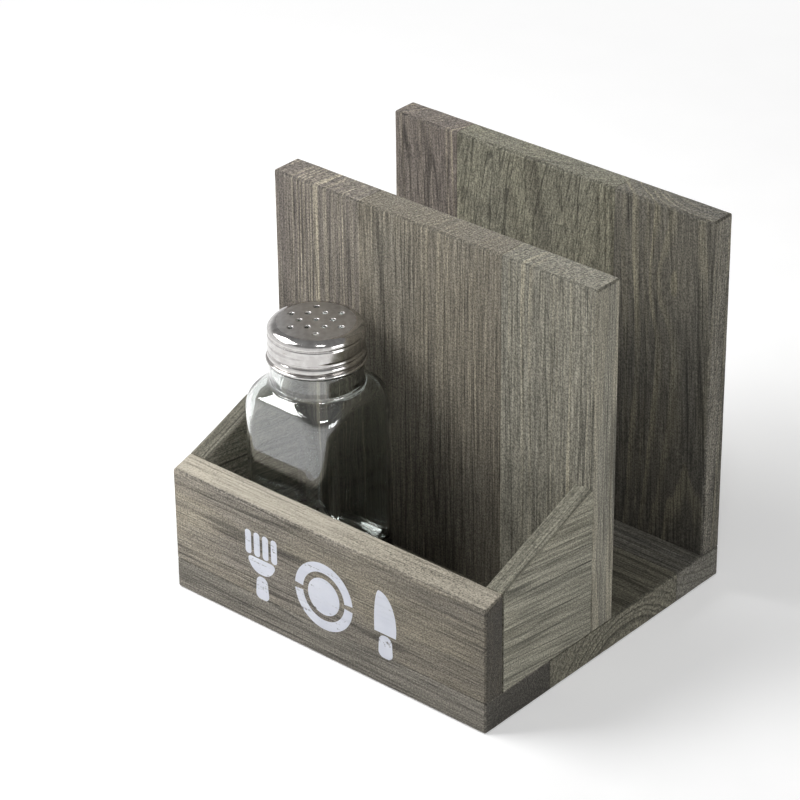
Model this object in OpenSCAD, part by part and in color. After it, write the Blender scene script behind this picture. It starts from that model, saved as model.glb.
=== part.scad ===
// Rustic napkin and condiment caddy with one square glass shaker.
// The base board carries everything: an open tray in front, a tall divider, an open
// napkin slot and a tall back panel. All boards are stained wood, glued and nailed.
// The origin is the centre of the base's underside, X to the right, the front faces -Y.

/* [Caddy] */
// Width across the front
body_w = 138; // [118:1:200]
// Depth from the front board's face to the back panel's face
body_d = 126; // [110:1:170]
// Height of the divider and of the back panel above the table
body_h = 139.5; // [110:0.5:200]
// Cut taken off each exposed board edge
edge_ease = 0.9; // [0.3:0.1:1.5]

/* [Boards] */
// Thickness of the base board
base_t = 12; // [8:0.5:18]
// Thickness of the front board
front_t = 9; // [6:0.5:12]
// Height of the front board above the base board
front_h = 38; // [25:0.5:50]
// Fall of the front board's planed top from its rear edge to its front edge
front_fall = 2.6; // [0:0.1:4]
// Thickness of the divider
divider_t = 12; // [8:0.5:16]
// Thickness of the back panel
back_t = 10; // [8:0.5:16]
// Thickness of the two cheeks that close the tray's ends
cheek_t = 7.5; // [6:0.5:12]
// Height of a cheek above the base board where it meets the divider
cheek_h = 55; // [51:0.5:80]
// Clear depth of the tray between front board and divider
tray_d = 45.3; // [43:0.1:55]

/* [Staves] */
// Depth of the base board's front stave
base_front_stave = 33; // [20:1:45]
// Depth of the base board's rear stave
base_rear_stave = 24; // [15:1:35]
// Width of the divider's left stave
divider_left_stave = 38.5; // [25:0.5:48]
// Width of the divider's right stave
divider_right_stave = 39; // [25:0.5:48]
// Width of the back panel's left stave
back_left_stave = 28.5; // [20:0.5:48]
// Width of the back panel's right stave
back_right_stave = 41; // [20:0.5:48]

/* [Fasteners] */
// Diameter of the wood screws that hold divider and back panel to the base
screw_d = 3; // [2.5:0.1:4]
// Length of the wood screws
screw_len = 30; // [20:1:40]
// Diameter of a wood screw's countersunk head
screw_head_d = 6; // [5:0.1:7]
// Distance of the outer screws from the caddy's sides
screw_side = 20; // [12:1:30]
// Diameter of the wire brads
brad_d = 1.2; // [0.8:0.1:1.6]
// Length of the wire brads
brad_len = 30; // [25:1:32]
// Diameter of a brad's head
brad_head_d = 2.2; // [2:0.1:3]
// Thickness of a brad's head
brad_head_t = 0.6; // [0.4:0.1:1]
// Depth at which heads sit below the wood's surface
head_recess = 0.4; // [0.2:0.1:1]
// Room between a fastener and its hole
hole_room = 0.06; // [0.02:0.01:0.15]
// Height of the lower brad in each cheek above the base board
cheek_brad_low = 12; // [8:1:18]
// Height of the upper brad in each cheek above the base board
cheek_brad_high = 36; // [25:1:38]
// Distance of upright and level brads from a cheek's middle plane, so that they pass
brad_stagger = 1.5; // [1.2:0.1:1.7]

/* [Shaker] */
// Width of the square bottle over its flat faces
bottle_w = 39.4; // [36:0.1:42]
// Height of the shaker with its cap on
shaker_h = 91.4; // [85:0.1:110]
// Radius of the bottle's four upright corners
bottle_corner_r = 7.5; // [5:0.1:9]
// Thickness of the bottle's walls
bottle_wall = 2; // [1.5:0.1:2.6]
// Thickness of the glass foot
bottle_foot = 5.5; // [3:0.1:8]
// Radius of the bottle's outer bottom edge
bottle_foot_r = 2.2; // [1:0.1:3]
// Width of the flat ring that the foot stands on
foot_ring = 4; // [2:0.5:6]
// Radius of the inside's bottom edge
floor_r = 3.5; // [2:0.1:5]
// Radius of the shoulders at the four upright corners
shoulder_r = 9; // [8:0.5:11]
// Pitch of the shoulder where it runs up to the collar, in degrees
shoulder_pitch = 28; // [24:1:32]
// Drop from the cap's lower edge to the top of a flat face
face_drop = 12.3; // [11.5:0.1:13]
// Radius of the bend at the top of a flat face
face_bend_r = 2; // [1.5:0.1:2.6]
// Height of the plain collar between the shoulder and the cap
collar_h = 8; // [7:0.1:8.5]
// Room between the collar and the cap's lower edge
collar_room = 0.7; // [0.4:0.1:1.2]
// Radius of the hollow curve at the collar's root
collar_root_r = 1.5; // [0.8:0.1:2]
// Depth of the hollow under the foot
foot_hollow = 0.7; // [0.3:0.1:1.5]
// Room between the shaker and the divider behind it
shaker_room_back = 1; // [0.4:0.1:2]
// Room between the shaker and the left cheek
shaker_room_left = 9.8; // [1:0.1:20]

/* [Cap] */
// Height of the cap
cap_h = 13.9; // [12:0.1:18]
// Outer diameter of the cap's plain skirt
cap_d = 33; // [31:0.1:34]
// Thickness of the cap's sheet metal
cap_t = 0.45; // [0.3:0.05:0.6]
// Diameter of the nearly flat top
cap_top_d = 26.5; // [23.5:0.5:28]
// Rise of the top's dome
cap_dome = 0.5; // [0.2:0.1:1]
// Height of the rounded edge between top and skirt
cap_edge_h = 2.7; // [2:0.1:4]
// Radius of the curled lower edge
cap_curl_r = 0.55; // [0.45:0.05:0.8]
// Height of the rib above the curl
cap_rib_h = 1.2; // [0.8:0.1:2]
// Depth of the grooves rolled into the skirt
cap_groove = 0.35; // [0.1:0.05:0.5]
// Height of a groove's flank
cap_flank_h = 0.7; // [0.4:0.1:1]
// Diameter of the holes in the top
hole_d = 1.9; // [1:0.1:3]
// Distance between neighbouring holes
hole_pitch = 5.6; // [4.5:0.1:6]
// Turn of the hole pattern about the cap's axis, in degrees
hole_turn = 41; // [0:1:60]
// Room between the bottle's neck and the cap's skirt, where the thread runs
thread_room = 1.4; // [1.2:0.1:2]
// Room between the bottle's rim and the cap's top
rim_room = 0.5; // [0.45:0.05:1]

/* [Hidden] */
$fn = 64;
fine_fn = 96;
over = 1;
arc_steps = 6;
dome_steps = 4;

// Places of the boards, from front to back and from the table up
left_x = -body_w / 2;
front_y = -body_d / 2;
tray_y = front_y + front_t;
divider_y = tray_y + tray_d;
slot_y = divider_y + divider_t;
back_y = body_d / 2 - back_t;
front_top = base_t + front_h;
front_slope = atan2(front_fall, front_t);
panel_h = body_h - base_t;
cheek_slope = atan2(cheek_h - front_h, tray_d);
slope_reach = 2 * (body_w + body_d + body_h);

// Rows of fasteners
screw_rows = [divider_y + divider_t / 2, back_y + back_t / 2];
screw_columns = [left_x + screw_side, 0, -left_x - screw_side];
front_brad_y = front_y + front_t / 2;
cheek_middle_x = body_w / 2 - cheek_t / 2;
upright_brad_x = cheek_middle_x - brad_stagger;
level_brad_x = cheek_middle_x + brad_stagger;
cheek_brad_rows = [tray_y + tray_d / 4, tray_y + tray_d * 3 / 4];
fastener_point = 3;

// Levels and radii of the shaker, measured from the underside of its foot
shaker_x = left_x + cheek_t + shaker_room_left + bottle_w / 2;
shaker_y = divider_y - shaker_room_back - bottle_w / 2;
cap_low = shaker_h - cap_h;
cap_r = cap_d / 2;
cap_top_r = cap_top_d / 2;
rim_z = shaker_h - cap_dome - cap_t - rim_room;
neck_r = cap_r - cap_t - thread_room;
neck_bore_r = neck_r - bottle_wall;
collar_r = neck_r + thread_room;
collar_top = cap_low - collar_room;
shoulder_z = collar_top - collar_h;
rim_lip_r = 0.8;

// The shoulders: a flat face ends at face_top, an upright corner at corner_top, and the
// turned form that joins the corners runs up at its pitch to the collar
face_top = cap_low - face_drop;
face_pitch = 45;
corner_out_r = (bottle_w / 2 - bottle_corner_r) * sqrt(2) + bottle_corner_r;
corner_margin = 0.4;
shoulder_axis_r = corner_out_r + corner_margin - shoulder_r;
shoulder_end_r = shoulder_axis_r + shoulder_r * sin(shoulder_pitch);
shoulder_run = (shoulder_end_r - collar_r) * tan(shoulder_pitch);
corner_top = shoulder_z - shoulder_run - shoulder_r * cos(shoulder_pitch);

// The cap's skirt from the top down: rounded edge, crease, plain band, groove, rib, groove
// and curl
edge_low = shaker_h - cap_dome - cap_edge_h;
band_top = edge_low - 2 * cap_flank_h;
curl_top = cap_low + 2 * cap_curl_r;
rib_low = curl_top + cap_flank_h;
rib_top = rib_low + cap_rib_h;
band_low = rib_top + 2 * cap_flank_h;
curl_axis_r = cap_r - cap_t + cap_curl_r;

// The places of the thirteen holes: a centre hole, six round it and six points of a star
hole_places = concat(
    [[0, 0]],
    [for (i = [0 : 5]) hole_pitch * [cos(hole_turn + 60 * i), sin(hole_turn + 60 * i)]],
    [for (i = [0 : 5])
        hole_pitch * sqrt(3) * [cos(hole_turn + 30 + 60 * i), sin(hole_turn + 30 + 60 * i)]]
);

// A rectangle whose corners are cut by the four sizes in cuts, counted from the
// corner at the origin anticlockwise
function cut_corner(p, from, to, c) = c > 0 ? [p - c * from, p + c * to] : [p];
module eased_rect(w, h, cuts) {
    right = [1, 0];
    up = [0, 1];
    polygon(concat(
        cut_corner([0, 0], -up, right, cuts[0]),
        cut_corner([w, 0], right, up, cuts[1]),
        cut_corner([w, h], up, -right, cuts[2]),
        cut_corner([0, h], -right, -up, cuts[3])
    ));
}

// A board whose exposed edges are eased: plan, front and side give the corner cuts
// in each of the three views
module eased_board(size, plan, front, side) {
    intersection() {
        linear_extrude(size.z) eased_rect(size.x, size.y, plan);
        translate([0, size.y, 0]) rotate([90, 0, 0])
            linear_extrude(size.y) eased_rect(size.x, size.z, front);
        rotate([90, 0, 90]) linear_extrude(size.x) eased_rect(size.y, size.z, side);
    }
}

// What lies between two planes across an axis: 0 for X, 1 for Y
module between(low, high, axis) {
    reach = 2 * (body_w + body_d + body_h);
    size = axis == 0 ? [high - low, reach, reach] : [reach, high - low, reach];
    place = axis == 0 ? [low, -reach / 2, -reach / 2] : [-reach / 2, low, -reach / 2];
    intersection() {
        children();
        translate(place) cube(size);
    }
}

// A countersunk screw that stands on its head, or its hole when room is added
module screw_form(room = 0) {
    r = screw_d / 2 + room;
    head_r = screw_head_d / 2 + room;
    rotate_extrude() polygon([
        [0, -room], [head_r, -room], [r, head_r - r], [r, screw_len - fastener_point],
        [0, screw_len + room]
    ]);
}

// A wire brad that stands on its head, or its hole when room is added
module brad_form(room = 0) {
    r = brad_d / 2 + room;
    head_r = brad_head_d / 2 + room;
    rotate_extrude() polygon([
        [0, -room], [head_r, -room], [head_r, brad_head_t + room], [r, brad_head_t + room],
        [r, brad_len - fastener_point], [0, brad_len + room]
    ]);
}

// The way that each head was driven in from the surface
module head_way(r) {
    translate([0, 0, -head_recess - over]) cylinder(r = r, h = head_recess + over);
}

module at_screws() {
    for (y = screw_rows, x = screw_columns) translate([x, y, head_recess]) children();
}

module at_base_brads() {
    for (x = screw_columns) translate([x, front_brad_y, head_recess]) children();
    for (side = [-1, 1], y = cheek_brad_rows)
        translate([side * upright_brad_x, y, head_recess]) children();
}

module at_cheek_brads() {
    for (side = [-1, 1], z = [cheek_brad_low, cheek_brad_high])
        translate([side * level_brad_x, slot_y - head_recess, base_t + z])
            rotate([90, 0, 0]) children();
}

// Every fastener's hole with the way of its head
module fastener_holes() {
    at_screws() {
        screw_form(hole_room);
        head_way(screw_head_d / 2 + hole_room);
    }
    at_base_brads() {
        brad_form(hole_room);
        head_way(brad_head_d / 2 + hole_room);
    }
    at_cheek_brads() {
        brad_form(hole_room);
        head_way(brad_head_d / 2 + hole_room);
    }
}

module base_board() {
    e = edge_ease;
    difference() {
        translate([left_x, front_y, 0])
            eased_board([body_w, body_d, base_t], [e, e, e, e], [e, e, 0, 0], [e, e, 0, 0]);
        fastener_holes();
    }
}

module base_stave_front() {
    color("#6f6a5f") between(front_y - over, front_y + base_front_stave, 1) base_board();
}

module base_stave_middle() {
    color("#757063")
        between(front_y + base_front_stave, body_d / 2 - base_rear_stave, 1) base_board();
}

module base_stave_rear() {
    color("#6a665c") between(body_d / 2 - base_rear_stave, body_d / 2 + over, 1) base_board();
}

// A tall panel with its front face at y, as thick as t
module tall_panel(y, t) {
    e = edge_ease;
    difference() {
        translate([left_x, y, base_t])
            eased_board([body_w, t, panel_h], [e, e, e, e], [0, 0, e, e], [0, 0, e, e]);
        fastener_holes();
    }
}

module divider_stave_left() {
    color("#777268")
        between(left_x - over, left_x + divider_left_stave, 0) tall_panel(divider_y, divider_t);
}

module divider_stave_middle() {
    color("#7b7668")
        between(left_x + divider_left_stave, -left_x - divider_right_stave, 0)
            tall_panel(divider_y, divider_t);
}

module divider_stave_right() {
    color("#7d786e")
        between(-left_x - divider_right_stave, -left_x + over, 0)
            tall_panel(divider_y, divider_t);
}

module back_stave_left() {
    color("#6c675c")
        between(left_x - over, left_x + back_left_stave, 0) tall_panel(back_y, back_t);
}

module back_stave_middle() {
    color("#6e6b5c")
        between(left_x + back_left_stave, -left_x - back_right_stave, 0)
            tall_panel(back_y, back_t);
}

module back_stave_right() {
    color("#67635a")
        between(-left_x - back_right_stave, -left_x + over, 0) tall_panel(back_y, back_t);
}

// What lies below a plane that rises to the rear at the slope, through the line at y and z,
// on a board as wide as w from x on, with the plane's two side edges eased
module under_slope(x, y, z, w, slope) {
    translate([x, y, z]) rotate([slope + 90, 0, 0])
        translate([0, -slope_reach, -slope_reach / 2]) linear_extrude(slope_reach)
            eased_rect(w, slope_reach, [0, 0, edge_ease, edge_ease]);
}

// The front board's top falls to the front, and its long edges are eased
module front_board() {
    e = edge_ease;
    front_edge = [0, front_h - front_fall];
    rear_edge = [front_t, front_h];
    along = e * [cos(front_slope), sin(front_slope)];
    color("#8a8270") difference() {
        intersection() {
            translate([left_x, front_y, base_t]) linear_extrude(front_h)
                eased_rect(body_w, front_t, [e, e, 0, 0]);
            translate([left_x, front_y, base_t]) rotate([90, 0, 90]) linear_extrude(body_w)
                polygon([
                    [0, 0], [front_t, 0], rear_edge - [0, e], rear_edge - along,
                    front_edge + along, front_edge - [0, e]
                ]);
            under_slope(left_x, tray_y, front_top, body_w, front_slope);
        }
        fastener_holes();
    }
}

// The right cheek: a board with a slanted top that rises from the front board to the divider
module cheek() {
    difference() {
        intersection() {
            translate([-left_x - cheek_t, tray_y, base_t]) rotate([90, 0, 90])
                linear_extrude(cheek_t)
                    polygon([[0, 0], [tray_d, 0], [tray_d, cheek_h], [0, front_h]]);
            under_slope(-left_x - cheek_t, tray_y, front_top, cheek_t, cheek_slope);
        }
        fastener_holes();
    }
}

module right_cheek() {
    color("#807a69") cheek();
}

module left_cheek() {
    color("#7a7564") mirror([1, 0, 0]) cheek();
}

module base_screws() {
    color("#b8b6ae") at_screws() screw_form();
}

module base_brads() {
    color("#a9a9a6") at_base_brads() brad_form();
}

module cheek_brads() {
    color("#a9a9a6") at_cheek_brads() brad_form();
}

// The side view of the bottle without its neck, inset by a wall: a rounded bottom edge,
// straight faces, and above each a bend and a slope towards the neck
module bottle_side(inset, low, low_r) {
    half = bottle_w / 2 - inset;
    r = max(face_bend_r - inset, 0.4);
    bend = [for (i = [0 : arc_steps]) let (a = (90 - face_pitch) * i / arc_steps)
        [half - r + r * cos(a), face_top + r * sin(a)]];
    last = bend[arc_steps];
    right = concat([[0, low + low_r], [half, low + low_r]], bend,
        [[0, last.y + last.x * tan(face_pitch)]]);
    translate([-half + low_r, low]) square([2 * (half - low_r), 2 * low_r]);
    for (side = [0, 1]) mirror([side, 0]) {
        polygon(right);
        translate([half - low_r, low + low_r]) circle(r = low_r, $fn = fine_fn);
    }
}

// The view from above: a square with round corners
module bottle_plan(inset) {
    half = bottle_w / 2 - inset;
    r = bottle_corner_r - inset;
    square([2 * half, 2 * (half - r)], center = true);
    square([2 * (half - r), 2 * half], center = true);
    for (x = [-1, 1], y = [-1, 1]) translate([x * (half - r), y * (half - r)]) circle(r = r);
}

// The turned form that rounds the shoulders at the four corners and runs up to the neck
module bottle_turned(inset, low, low_r) {
    r = shoulder_r - inset;
    wide = shoulder_axis_r + r;
    arc = [for (i = [0 : arc_steps]) let (a = (90 - shoulder_pitch) * i / arc_steps)
        [shoulder_axis_r + r * cos(a), corner_top + r * sin(a)]];
    last = arc[arc_steps];
    rotate_extrude($fn = fine_fn) polygon(concat(
        [[0, low], [wide - low_r, low], [wide, low + low_r]],
        arc,
        [[0, last.y + last.x * tan(shoulder_pitch)]]
    ));
}

module bottle_body(inset, low, low_r) {
    height = shaker_h - low;
    intersection() {
        translate([0, 0, low]) linear_extrude(height) bottle_plan(inset);
        rotate([90, 0, 0]) linear_extrude(bottle_w + over, center = true)
            bottle_side(inset, low, low_r);
        rotate([90, 0, 90]) linear_extrude(bottle_w + over, center = true)
            bottle_side(inset, low, low_r);
        bottle_turned(inset, low, low_r);
    }
}

// The neck from the shoulder up: a hollow curve at its root, the plain collar that the
// cap comes down to, the narrower part inside the cap and a rounded lip
module bottle_neck() {
    start = corner_top;
    edge = 0.4;
    sunk = 0.05;
    root_z = shoulder_z + collar_root_r * (1 - sin(shoulder_pitch)) / cos(shoulder_pitch);
    root = [for (i = [0 : 3]) let (a = 270 - shoulder_pitch - (90 - shoulder_pitch) * i / 3)
        [collar_r + collar_root_r * (1 + cos(a)), root_z - sunk + collar_root_r * sin(a)]];
    rotate_extrude($fn = fine_fn) polygon(concat(
        [[0, start], [root[0].x, start]],
        root,
        [[collar_r, collar_top - edge], [collar_r - edge, collar_top], [neck_r, collar_top],
         [neck_r, rim_z - rim_lip_r], [neck_r - rim_lip_r, rim_z], [0, rim_z]]
    ));
}

module shaker_bottle() {
    color("#dfe6e4", 0.35) translate([shaker_x, shaker_y, base_t]) difference() {
        union() {
            bottle_body(0, 0, bottle_foot_r);
            bottle_neck();
        }
        bottle_body(bottle_wall, bottle_foot, floor_r);
        translate([0, 0, corner_top])
            cylinder(r = neck_bore_r, h = shaker_h, $fn = fine_fn);
        translate([0, 0, -over])
            cylinder(r = bottle_w / 2 - bottle_foot_r - foot_ring, h = foot_hollow + over);
    }
}

// Profile of the cap's sheet as radius and height, from the top's centre down to the curl;
// sink lowers it and shrink draws it in, which gives the sheet's inner face
function cap_profile(sink, shrink) = concat(
    [for (i = [0 : dome_steps - 1]) let (share = i / dome_steps)
        [cap_top_r * share, shaker_h - sink - cap_dome * share * share]],
    [for (i = [0 : arc_steps]) let (a = 90 - 90 * i / arc_steps)
        [cap_top_r + (cap_r - shrink - cap_top_r) * cos(a),
         shaker_h - sink - cap_dome - (cap_edge_h - sink + shrink) * (1 - sin(a))]],
    [[cap_r - shrink - cap_groove / 2, edge_low - cap_flank_h], [cap_r - shrink, band_top],
     [cap_r - shrink, band_low], [cap_r - shrink - cap_groove, band_low - cap_flank_h],
     [cap_r - shrink + cap_groove / 2, rib_top], [cap_r - shrink + cap_groove / 2, rib_low],
     [cap_r - shrink - cap_groove, curl_top]]
);

module cap_sheet() {
    outside = cap_profile(0, 0);
    inside = cap_profile(cap_t, cap_t);
    lower_edge = [[cap_r, cap_low + cap_curl_r], [cap_r - cap_t, cap_low + cap_curl_r]];
    rotate_extrude($fn = fine_fn) polygon(concat(
        outside, lower_edge, [for (i = [len(inside) - 1 : -1 : 0]) inside[i]]
    ));
}

module shaker_cap() {
    color("#c4c4c4") translate([shaker_x, shaker_y, base_t]) difference() {
        union() {
            cap_sheet();
            translate([0, 0, cap_low + cap_curl_r]) rotate_extrude($fn = fine_fn)
                translate([curl_axis_r, 0]) circle(r = cap_curl_r, $fn = 32);
        }
        for (p = hole_places)
            translate([p.x, p.y, edge_low]) cylinder(d = hole_d, h = cap_h, $fn = 24);
    }
}

base_stave_front();
base_stave_middle();
base_stave_rear();
divider_stave_left();
divider_stave_middle();
divider_stave_right();
back_stave_left();
back_stave_middle();
back_stave_right();
front_board();
left_cheek();
right_cheek();
base_screws();
base_brads();
cheek_brads();
shaker_bottle();
shaker_cap();
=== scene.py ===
# %% [markdown]
# A rustic table caddy: stained boards carry an open tray, a tall divider and a napkin slot,
# and a square glass shaker with a pierced steel cap stands in the tray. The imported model
# already holds every piece at its real place and size. One could model over it by eye, but
# here each finished piece reads its size from the frame, so that nothing has to be fitted.

# %% Load the fixed frame
import math

import bmesh
import bpy
from mathutils import Matrix, Vector, noise


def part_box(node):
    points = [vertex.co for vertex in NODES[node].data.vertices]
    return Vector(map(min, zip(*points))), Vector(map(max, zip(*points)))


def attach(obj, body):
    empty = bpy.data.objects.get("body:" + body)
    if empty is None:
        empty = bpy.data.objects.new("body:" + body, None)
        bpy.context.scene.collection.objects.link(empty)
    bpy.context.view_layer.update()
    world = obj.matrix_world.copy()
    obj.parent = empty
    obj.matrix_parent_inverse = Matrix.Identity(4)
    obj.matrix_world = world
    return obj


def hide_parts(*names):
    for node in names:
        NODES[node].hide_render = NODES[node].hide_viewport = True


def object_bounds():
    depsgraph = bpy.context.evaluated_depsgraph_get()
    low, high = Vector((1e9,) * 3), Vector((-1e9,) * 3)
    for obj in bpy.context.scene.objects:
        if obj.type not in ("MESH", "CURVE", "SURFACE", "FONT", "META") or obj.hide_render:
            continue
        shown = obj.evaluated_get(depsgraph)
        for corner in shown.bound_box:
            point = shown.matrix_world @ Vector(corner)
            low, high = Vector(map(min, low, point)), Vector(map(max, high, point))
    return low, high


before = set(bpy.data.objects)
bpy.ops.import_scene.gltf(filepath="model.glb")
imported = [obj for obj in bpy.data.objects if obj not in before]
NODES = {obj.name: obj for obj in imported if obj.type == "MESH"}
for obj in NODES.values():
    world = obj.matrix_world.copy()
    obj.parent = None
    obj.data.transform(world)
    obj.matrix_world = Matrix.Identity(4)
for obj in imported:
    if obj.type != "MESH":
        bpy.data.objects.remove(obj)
CAD_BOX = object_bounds()
MM = 0.001

# %% [markdown]
# The photograph looks down on the caddy from its front right corner, through a long lens, so
# the upright edges stay almost parallel. A camera can be placed by dragging it about until it
# looks right. Here its place and turn come from a fit on the caddy's corners, and the roll
# of under one degree is the tilt of the hand or tripod that took the picture.

# %% Camera at the photograph's viewing angle
CAMERA_PLACE = Vector((622.4, -731.9, 616.2)) * MM
CAMERA_AZIMUTH = math.radians(41.33)
CAMERA_ELEVATION = math.radians(29.54)
CAMERA_ROLL = math.radians(-0.69)
CAMERA_LENS = 148.05

back = Vector((
    math.sin(CAMERA_AZIMUTH) * math.cos(CAMERA_ELEVATION),
    -math.cos(CAMERA_AZIMUTH) * math.cos(CAMERA_ELEVATION),
    math.sin(CAMERA_ELEVATION),
))
camera = bpy.data.objects.new("camera", bpy.data.cameras.new("camera"))
bpy.context.collection.objects.link(camera)
camera.data.lens = CAMERA_LENS
camera.data.sensor_width = 36
camera.data.clip_start = 10 * MM
aim = (-back).to_track_quat("-Z", "Y").to_matrix() @ Matrix.Rotation(CAMERA_ROLL, 3, "Z")
camera.matrix_world = Matrix.Translation(CAMERA_PLACE) @ aim.to_4x4()
bpy.context.scene.camera = camera
bpy.context.scene.view_settings.view_transform = "Standard"
print("camera:", [round(v, 4) for v in camera.location], "lens", camera.data.lens)

# %% [markdown]
# Every finish below is a small graph of shader nodes. Linking nodes one by one takes many
# lines, so short helpers do it: one adds a node and fills or links its inputs, and the others
# do arithmetic with numbers or vectors, mix two colours, or make a bump or a noise.

# %% Helpers for shader nodes
def node(tree, kind, inputs=None, **settings):
    made = tree.nodes.new("ShaderNode" + kind)
    for key, value in settings.items():
        setattr(made, key, value)
    for key, value in (inputs or {}).items():
        if isinstance(value, bpy.types.NodeSocket):
            tree.links.new(value, made.inputs[key])
        else:
            made.inputs[key].default_value = value
    return made


def calc(tree, operation, *values, clamp=False):
    sockets = dict(enumerate(values))
    return node(tree, "Math", sockets, operation=operation, use_clamp=clamp).outputs[0]


def plus(tree, first, second):
    return calc(tree, "ADD", first, second)


def times(tree, first, second):
    return calc(tree, "MULTIPLY", first, second)


def vector(tree, operation, first, second=(0, 0, 0)):
    key = "Scale" if operation == "SCALE" else 1
    made = node(tree, "VectorMath", {0: first, key: second}, operation=operation)
    return made.outputs["Value" if operation in ("LENGTH", "DOT_PRODUCT") else "Vector"]


def ramp(tree, value, low, high, to_low=0.0, to_high=1.0):
    sockets = {"Value": value, "From Min": low, "From Max": high, "To Min": to_low, "To Max": to_high}
    return node(tree, "MapRange", sockets, interpolation_type="SMOOTHSTEP").outputs[0]


def mix_colour(tree, factor, first, second):
    return node(tree, "Mix", {0: factor, 6: first, 7: second}, data_type="RGBA").outputs[2]


def cloud(tree, place, scale, detail, roughness=0.5, output="Fac"):
    sockets = {"Vector": place, "Scale": scale, "Detail": detail, "Roughness": roughness}
    return node(tree, "TexNoise", sockets).outputs[output]


def bump(tree, strength, depth, height):
    return node(tree, "Bump", {"Strength": strength, "Distance": depth, "Height": height}).outputs[0]


print("shader helpers ready, Blender", bpy.app.version_string)

# %% [markdown]
# Colours are easiest to choose as they show on a screen, while the renderer counts in amounts
# of light, so a helper turns the one into the other. Every material starts empty, and all the
# solid ones end in the same shader, which mirrors, shines through or stays matt as it is told.

# %% Helpers for materials
def tone(code):
    """A colour written as it shows on screen, such as "#8a8270", in the renderer's own scale."""
    parts = [int(code[i:i + 2], 16) / 255 for i in (1, 3, 5)]
    return [p / 12.92 if p < 0.04045 else ((p + 0.055) / 1.055) ** 2.4 for p in parts] + [1.0]


def new_material(name):
    material = bpy.data.materials.new(name)
    material.use_nodes = True
    material.node_tree.nodes.clear()
    return material, material.node_tree


def shade(tree, sockets):
    shader = node(tree, "BsdfPrincipled", sockets)
    node(tree, "OutputMaterial", {"Surface": shader.outputs[0]})


def object_place(tree):
    return node(tree, "TexCoord").outputs["Object"]


def place_in_mm(tree, place, origin, turn=(0, 0, 0)):
    """The point in millimetres, turned about the world's origin and then counted from origin."""
    sockets = {"Vector": place, "Scale": (1 / MM,) * 3, "Rotation": turn, "Location": [-v for v in origin]}
    return node(tree, "Mapping", sockets).outputs[0]


print("a mid grey of #808080 is", round(tone("#808080")[0], 3))

# %% [markdown]
# Softwood grows a pale soft band in spring and a dense narrow band in summer, ring on ring
# round the pith. A sawn board is a slice through those rings: its faces show long lines, and
# its ends show arcs. A flat wood picture can't do both, so the pattern is solid: each point
# asks how far it is from the tree's pith, which lies somewhere beside or inside the board.
# Slow noise sways the rings, quick noise makes them shiver, and a knot draws them aside.

# %% Growth rings
SWAY_CLOUD = (0.022, 0.007, 1.0)
SHIVER_CLOUD = (0.22, 0.02, 1.0)
SHIVER = 1.3
KNOT_REACH = (0.16, 0.16, 0.07)
UNEVEN_PACE = 0.11
UNEVEN_WIDTH = 3.0


def stretched_noise(tree, place, across, along, detail, output="Fac"):
    """Noise of so many waves per millimetre across the grain and along it."""
    scaled = vector(tree, "MULTIPLY", place, (across, across, along))
    return cloud(tree, scaled, 1.0, detail, 0.55, output)


def growth_rings(tree, given, seeded):
    """Up to one in the summer band of each ring, and nothing in its spring band."""
    sway = stretched_noise(tree, seeded, *SWAY_CLOUD, output="Color")
    sway = vector(tree, "SCALE", vector(tree, "SUBTRACT", sway, (0.5, 0.5, 0.5)), given["Sway"])
    shiver = stretched_noise(tree, seeded, *SHIVER_CLOUD, output="Color")
    bent = vector(tree, "ADD", given["Place"], sway)
    bent = vector(tree, "ADD", bent, vector(tree, "SCALE", shiver, SHIVER))
    radius = vector(tree, "LENGTH", vector(tree, "MULTIPLY", bent, (1.0, 1.0, 0.0)))
    away = vector(tree, "MULTIPLY", vector(tree, "SUBTRACT", bent, given["Knot"]), KNOT_REACH)
    away = vector(tree, "LENGTH", away)
    pull = calc(tree, "EXPONENT", times(tree, times(tree, away, away), -1.0))
    radius = plus(tree, radius, times(tree, pull, given["Swirl"]))
    sockets = {"W": times(tree, radius, UNEVEN_PACE), "Scale": 1.0, "Detail": 1.0}
    uneven = node(tree, "TexNoise", sockets, noise_dimensions="1D").outputs["Fac"]
    turns = plus(tree, calc(tree, "DIVIDE", radius, given["Ring"]), times(tree, uneven, UNEVEN_WIDTH))
    within = calc(tree, "FRACT", turns)
    season = times(tree, ramp(tree, within, 0.35, 0.85), ramp(tree, within, 0.9, 1.0, 1.0, 0.0))
    year = node(tree, "TexWhiteNoise", {"W": calc(tree, "FLOOR", turns)}, noise_dimensions="1D")
    return times(tree, season, ramp(tree, year.outputs["Value"], 0.0, 1.0, 0.35, 1.15))


print("slow sway repeats in about", round(1 / SWAY_CLOUD[0]), "mm across the grain")
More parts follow.
